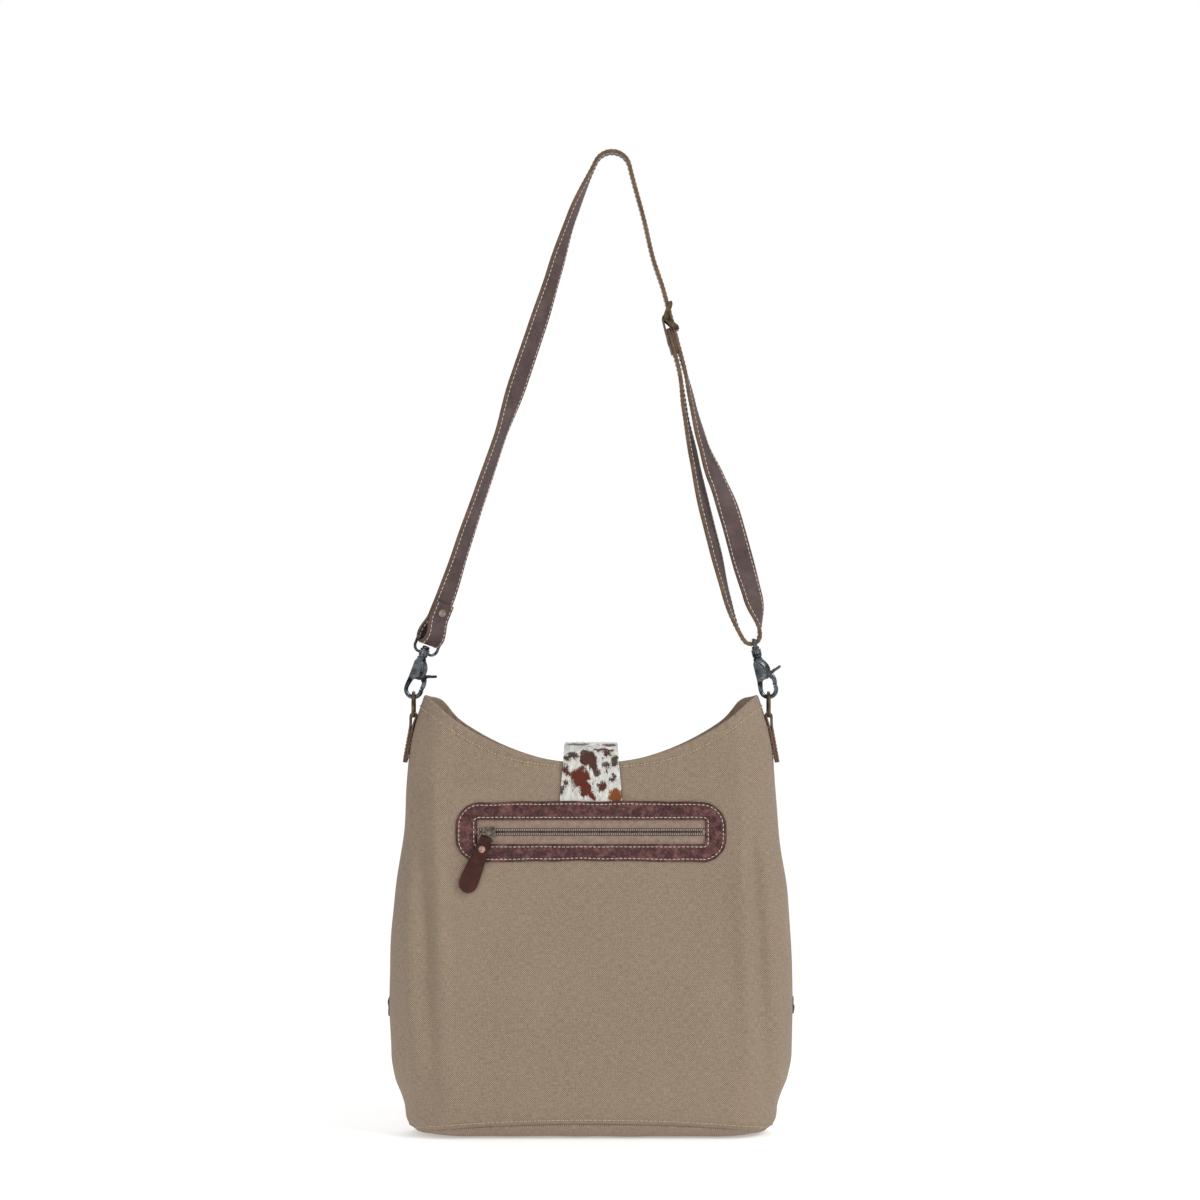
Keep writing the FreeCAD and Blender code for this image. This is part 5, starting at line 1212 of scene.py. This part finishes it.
def left_fold():
    """Stations of the left fold: down the free leg, round the eye's bar and up the main leg."""
    turn = (Matrix.Rotation(math.radians(LEANS["left"]), 3, "Y")
            @ Matrix.Rotation(math.radians(-LEFT_YAW), 3, "Z"))
    near = FOLD_GAP + STRAP_THICK / 2
    wide = FOLD_ROUND + STRAP_THICK / 2
    lift = FOLD_ROUND - LOOP_INNER
    ends = np.array([[near, FOLD_PINCH], [wide, lift]])
    flare = spline(np.array([0.0, FOLD_PINCH - lift]), ends, (0, -1), (0, -1))
    leg = [(near, height) for height in spread(0.036, FOLD_PINCH, 12)]
    leg += [tuple(flare(place)) for place in np.linspace(0, FOLD_PINCH - lift, 16)[1:]]
    arc = [polar(wide, angle) for angle in spread(0, -180, 25)[1:-1]]
    line = leg + [(x, lift + z) for x, z in arc] + [(-x, z) for x, z in reversed(leg)]
    spots = [Vector((x, 0, z)) for x, z in line]
    stations = []
    for spot, way in zip(spots, directions(spots)):
        up = -outward(way)
        stations.append((eye_point("left") + turn @ spot, turn @ way.cross(up).normalized(), turn @ up, 1.0))
    return stations


def strap_stations():
    """The strap's whole line: left fold, left length, over the peg, adjuster, right loop and back up."""
    stations = left_fold()
    crest_radius = PEG_RADIUS + STRAP_THICK / 2
    leave, right_way, slide = heading(26), -heading(-13), -heading(-BUCKLE_LEAN)
    stations += strand(stations[-1][0], heading(LEANS["left"]), PEG + outward(leave) * crest_radius, leave,
                       [(-0.120, 0.525), (-0.091, 0.610), (-0.065, 0.687), (-0.037, 0.772), (-0.016, 0.838)],
                       [125, 141, 149, 154, 127, 130, 144, 161, 180], 200)[1:]
    whole_left = len(stations)
    stations += bend(PEG, crest_radius, 154, 13, 30)[1:-1]
    slide_top, slide_low = BUCKLE - slide * 0.024, BUCKLE + slide * 0.044
    stations += strand(PEG + outward(right_way) * crest_radius, right_way, slide_top, slide,
                       [(0.0495, 0.825), (0.058, 0.790)], [0, 0], 60)
    stations += strand(slide_top, slide, slide_low, slide, [(BUCKLE.x, BUCKLE.z)], [0, 0], 24)[1:]
    reach = LOOP_ROUND - LOOP_INNER
    eye = eye_point("right") + Vector((LOOP_SHIFT, 0, math.sqrt(reach ** 2 - LOOP_SHIFT ** 2)))
    radius = LOOP_ROUND + STRAP_THICK / 2
    stations += strand(slide_low, slide, eye + TO_RIGHT * radius, -UPWARD,
                       [(0.095, 0.652), (0.107, 0.612), (0.122, 0.575), (0.137, 0.524), (0.148, 0.485)],
                       [0, 12, 24, 50, 78, 84, 60, 0], 150)[1:]
    stations += bend(eye, radius, 0, -147, 26)[1:]
    foot = BUCKLE - outward(slide) * TAIL_DROP
    tail_low, tail_middle, tail_top = (foot + slide * drop for drop in (0.044, 0.027, 0.010))
    stations += strand(stations[-1][0], heading(-33), tail_low, -slide,
                       [(0.126, 0.478), (0.115, 0.522), (0.102, 0.574), (0.092, 0.622), (0.084, 0.666)],
                       [0, -16, -28, -28, -20, -8, 0], 130)[1:]
    stations += strand(tail_low, -slide, tail_top, -slide, [tuple(tail_middle.xz)], [0, 0], 16)[1:]
    # The left length has turned over once by the peg, so the rest shows its other face
    turned_over = [(point, -side, -up, share) for point, side, up, share in stations[whole_left:]]
    return stations[:whole_left] + turned_over


def strap():
    """The whole strap as one continuous strip, with two rows of stitches on each face."""
    stations = strap_stations()
    new_piece("strap_leather", ribbon(stations, *STRAP_SECTION), [strap_paint, edge_paint],
              "shoulder_strap", ["strap"])
    thread = Thread()
    for across in (-STITCH_ACROSS, STITCH_ACROSS):
        for face in (-1, 1):
            spots = [(point + side * across + up * (face * (STRAP_THICK / 2 + STITCH_LIFT)), up * face)
                     for point, side, up, _ in stations]
            thread.run(spots, STRAP_STITCH)
    thread.finish("strap_stitching", thread_paint, "shoulder_strap")


def adjuster_fold():
    """The strap's end folded over the adjuster's middle bar."""
    rise_way = heading(-BUCKLE_LEAN)
    outside = -outward(rise_way)
    radius = 0.0017 + 0.00075
    line = [(radius, -drop) for drop in spread(0.0335, 0.001, 14)]
    line += [polar(radius, angle) for angle in spread(0, 180, 19)]
    line += [(-radius - 0.0004 * bump(drop, 0.012, 0.01), -drop) for drop in spread(0.001, 0.0335, 14)]
    bar = BUCKLE - outside * TAIL_DROP
    spots = [bar + outside * across + rise_way * rise for across, rise in line]
    stations = [(spot, TO_BACK, way.cross(TO_BACK).normalized(), 0.985)
                for spot, way in zip(spots, directions(spots))]
    new_piece("strap_adjuster_leather", ribbon(stations, *END_SECTION), [strap_paint, edge_paint],
              "adjuster", ["strap_adjuster_fold"])


strap()
adjuster_fold()


# ------------------------------------------------------------------
# Snap hooks: cast forms drawn about the middle of the claw, in millimetres across and up
# ------------------------------------------------------------------
CLAW_RADIUS, CLAW_WIRE, CLAW_END, TIP_GAP = 6.95, 2.0, 20.7, 0.05
STEM = -3.8
SLOT_HALF, CHEEK_HALF, BLADE_HALF = 1.35, 2.5, 1.15
CASTING_VOXEL = 0.00034


def slab(outline, low, high):
    """A flat plate between two depths, from its outline (across, up)."""
    count = len(outline)
    points = [(x * MM, y * MM, z * MM) for y in (low, high) for x, z in outline]
    faces = [tuple(range(count - 1, -1, -1)), tuple(range(count, 2 * count))]
    for index in range(count):
        after = (index + 1) % count
        faces.append((index, after, count + after, count + index))
    mesh = raw_mesh(points, faces)
    with editing(mesh) as work:
        face_out(work)
    return mesh


def tapered_wire(stops, depth=0.0, flat=1.0, blunt=False):
    """A round-ended wire through stops (across, up, radius); flat scales its depth, blunt cuts its end."""
    places = distances([stop[:2] for stop in stops])
    curve = spline(places, np.array([stop[:2] for stop in stops]))
    rows = []
    for at in np.linspace(0, places[-1], 8 * (len(stops) - 1) + 1):
        way = np.array(curve(min(places[-1], at + 0.05))) - np.array(curve(max(0, at - 0.05)))
        radius = np.interp(at, places, [stop[2] for stop in stops])
        rows.append((np.array(curve(at)), way / np.linalg.norm(way), radius))
    caps = [polar(1, angle) for angle in (8, 35, 62)]
    middle, way, radius = rows[0]
    start = [(middle - way * radius * reach, way, radius * high) for reach, high in caps]
    middle, way, radius = rows[-1]
    finish = [(middle + way * radius * reach, way, radius * high) for reach, high in reversed(caps)]
    rings = []
    for middle, way, radius in start + rows + ([] if blunt else finish):
        ring = []
        for angle in spread(0, 360, 17)[:-1]:
            x, y = polar(radius, angle)
            ring.append(Vector((middle[0] + way[1] * x, depth + flat * y, middle[1] - way[0] * x)) * MM)
        rings.append(ring)
    return sheet(rings, wrap=True)


def turned(stops):
    """A form turned about the stem, from stops (radius, up)."""
    rows = []
    for radius, height in stops:
        ring = [polar(radius, angle) for angle in spread(0, 360, 25)[:-1]]
        rows.append([Vector((STEM + x, y, height)) * MM for x, y in ring])
    return sheet(rows, wrap=True)


def cast(name, forms, hand, node, body):
    """One casting: the forms run together, eased like metal from a mould and set on the hook's lean."""
    with editing(*forms) as work:
        bmesh.ops.holes_fill(work, edges=[edge for edge in work.edges if edge.is_boundary])
        face_out(work)
    mesh = modified(forms[0], ("REMESH", {"mode": "VOXEL", "voxel_size": CASTING_VOXEL}),
                    ("SMOOTH", {"factor": 0.5, "iterations": 3}))
    mesh.transform(hook_place(hand))
    new_piece(f"{hand}_{name}", mesh, [gunmetal_paint], f"{hand}_{body}", [f"{hand}_{node}"])


def hook_casting(hand):
    """Claw, spine, two cheeks round the gate's slot, and the collared barrel with its headed neck."""
    claw = [(-5.9, 10.5, 2.8), (-6.6, 5.5, 2.35)]
    claw += [(*polar(CLAW_RADIUS, angle), CLAW_WIRE)
             for angle in (180, 205, 230, 255, 280, 305, 330, 360, 360 + CLAW_END)]
    cheek = [(-8.6, 8.6), (-5.0, 7.4), (-2.4, 9.4), (1.6, 9.8), (4.0, 12.0), (4.9, 15.5), (4.9, 19.4),
             (3.4, 23.6), (0.4, 28.6), (-7.4, 28.8), (-9.1, 25.0)]
    spine = [(-8.6, 8.0), (-5.2, 6.2), (-2.9, 9.4), (-2.9, 23.5), (3.3, 23.5), (0.4, 28.0), (-7.0, 28.4),
             (-8.9, 25.0)]
    ridge = [(-5.4, 27.0, 1.0), (-2.2, 25.0, 1.3), (0.2, 21.6, 1.35), (0.9, 17.0, 1.3), (-0.6, 13.4, 1.2),
             (-3.8, 10.6, 1.1)]
    lip = [(1.6, 26.2, 0.7), (4.0, 21.6, 0.8), (4.4, 16.0, 0.8), (3.4, 12.0, 0.7)]
    barrel = [(3.2, 26.0), (3.9, 27.6), (4.35, 28.4), (4.35, 29.6), (3.5, 30.2), (3.5, 30.8), (4.35, 31.4),
              (4.35, 32.7), (3.9, 33.0), (2.0, 33.0), (2.0, 38.15), (3.1, 38.15), (3.5, 38.6), (3.5, 40.0),
              (2.9, 40.8), (1.6, 41.1)]
    forms = [tapered_wire(claw, blunt=True), slab(spine, -CHEEK_HALF, CHEEK_HALF)]
    forms += [slab(cheek, SLOT_HALF, CHEEK_HALF), slab(cheek, -CHEEK_HALF, -SLOT_HALF)]
    for depth in (-CHEEK_HALF, CHEEK_HALF):
        forms += [tapered_wire(ridge, depth), tapered_wire(lip, depth * 0.94)]
    cast("hook_casting", forms + [turned(barrel)], hand, "hook", "hook_body")


def gate_casting(hand):
    """The gate: hub, curved arm that meets the claw's tip, and the thumb lever."""
    out_way, along_way = polar(1, CLAW_END), polar(1, CLAW_END + 90)
    tip = [CLAW_RADIUS * out + TIP_GAP * along for out, along in zip(out_way, along_way)]
    arm = [(4.6, 13.6, 1.9), (6.3, 10.4, 2.1), (7.0, 6.6, 2.1), (*tip, CLAW_WIRE - 0.1)]
    blade = [(-0.9, 17.0), (1.2, 14.0), (3.2, 9.8), (5.0, 8.0), (8.4, 8.0), (8.2, 11.4), (6.8, 14.4),
             (3.4, 20.0), (1.6, 21.2), (-1.2, 20.8)]
    lever = [(5.0, 13.4, 1.9), (7.6, 15.6, 1.55), (11.0, 16.9, 1.35), (14.4, 18.4, 1.25)]
    forms = [slab(blade, -BLADE_HALF, BLADE_HALF), tapered_wire(lever, flat=0.9)]
    forms.append(tapered_wire(arm, blunt=True))
    cast("gate_casting", forms, hand, "hook_gate", "gate_body")


for one_hand in HANDS:
    hook_casting(one_hand)
    gate_casting(one_hand)


# ------------------------------------------------------------------
# CAD pieces that are shown as they are: nodes, paint, width of the eased edges, slot
# ------------------------------------------------------------------
DRESS = [(["zip_teeth_upper", "zip_teeth_lower", "zip_stops"], chain_paint, 0.0002, "chain_metal"),
         (["zip_slider", "zip_link"], slider_paint, 0.0003, "chain_metal"),
         ([f"{hand}_hook_eye" for hand in HANDS], gunmetal_paint, 0.0003, "gunmetal"),
         ([f"{hand}_hook_pin" for hand in HANDS], gunmetal_paint, 0.0002, "gunmetal"),
         ([f"{hand}_hook_spring" for hand in HANDS], steel_paint, 0.0, "spring_steel"),
         ([f"{hand}_ring" for hand in HANDS], brass_paint, 0.0, "antique_brass"),
         (["strap_adjuster"], brass_paint, 0.0004, "antique_brass"),
         (["strap_end_rivet"], nickel_paint, 0.0003, "copper"),
         (["zip_pull_rivet"], copper_paint, 0.0003, "copper"),
         (["adjuster_rivet", "magnet_stud", "magnet_socket", "magnet_washer"], brass_paint, 0.0003,
          "antique_brass")]


def dress(name, paint, bevel):
    """Material, eased edges and smooth shading on a CAD node."""
    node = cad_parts[name]
    node.data.materials.clear()
    node.data.materials.append(paint)
    node.data.polygons.foreach_set("use_smooth", [True] * len(node.data.polygons))
    if bevel:
        edge = node.modifiers.new("eased_edges", "BEVEL")
        edge.width = bevel
        edge.segments = 2
        edge.limit_method = "ANGLE"
        edge.angle_limit = math.radians(35)
        edge.harden_normals = False
    node.modifiers.new("even_normals", "WEIGHTED_NORMAL")


for names, node_paint, node_bevel, node_slot in DRESS:
    for node_name in names:
        dress(node_name, node_paint, node_bevel)


# ------------------------------------------------------------------
# Camera, light and floor
# ------------------------------------------------------------------
CAMERA_SPOT, CAMERA_TARGET, LAMP_TARGET = (0.0081, -3.04, 0.484), (0.0081, 0, 0.484), (0, 0, 0.35)
WORLD_LIGHT = 0.50
# Name, place, size and watts
LAMPS = [("key", (2.5, -1.7, 2.3), 1.5, 66), ("fill", (-1.6, -2.8, 1.7), 2.0, 26),
         ("back", (0.4, 2.4, 2.4), 2.0, 30)]
FLOOR = [(-8, -5, -0.0015), (8, -5, -0.0015), (8, 12, -0.0015), (-8, 12, -0.0015)]


def aim(thing, spot, target):
    """Puts a camera or lamp at a spot, looking at a target."""
    thing.location = spot
    thing.rotation_mode = "QUATERNION"
    thing.rotation_quaternion = (Vector(target) - Vector(spot)).to_track_quat("-Z", "Y")
    bpy.context.scene.collection.objects.link(thing)


def catalogue_camera():
    """A long lens at the catalogue view."""
    camera = bpy.data.objects.new("camera", bpy.data.cameras.new("camera"))
    camera.data.lens = 100
    camera.data.sensor_width = 36
    camera.data.clip_end = 50
    aim(camera, CAMERA_SPOT, CAMERA_TARGET)
    bpy.context.scene.camera = camera
    bpy.context.scene.view_settings.view_transform = "Standard"


def white_world():
    """A world that is pure white to the camera and softer as a light."""
    world = bpy.data.worlds.new("studio")
    bpy.context.scene.world = world
    world.use_nodes = True
    tree = world.node_tree
    background = next(node for node in tree.nodes if node.type == "BACKGROUND")
    background.inputs["Color"].default_value = (1, 1, 1, 1)
    rays = tree.nodes.new("ShaderNodeLightPath")
    strength = tree.nodes.new("ShaderNodeMapRange")
    strength.inputs["To Min"].default_value = WORLD_LIGHT
    strength.inputs["To Max"].default_value = 1.0
    tree.links.new(rays.outputs["Is Camera Ray"], strength.inputs["Value"])
    tree.links.new(strength.outputs[0], background.inputs["Strength"])


def soft_lamps():
    """Three soft lamps round the purse."""
    for name, spot, width, power in LAMPS:
        light = bpy.data.lights.new(name, "AREA")
        light.energy = power
        light.size = width
        lamp = bpy.data.objects.new(name, light)
        aim(lamp, spot, LAMP_TARGET)


def paint_floor():
    """Pale paper that fades to pure white away from the purse."""
    paint = Paint("floor_paper")
    where = paint.place("Object", (1.6, 1.6, 1.6))
    near = paint.node("ShaderNodeTexGradient", {"Vector": where}, gradient_type="SPHERICAL").outputs[1]
    surface = {"Base Color": paint.ramp(near, (0.0, 0.0), (0.5, 0.9)), "Roughness": 0.9,
               "Emission Color": (1, 1, 1, 1), "Emission Strength": paint.ramp(near, (0.0, 1.0), (0.5, 0.35))}
    for key, value in surface.items():
        paint.put(paint.shader.inputs[key], value)
    return paint.material


catalogue_camera()
white_world()
soft_lamps()
new_piece("floor", raw_mesh(FLOOR, [(0, 1, 2, 3)]), [paint_floor()], smooth=False)
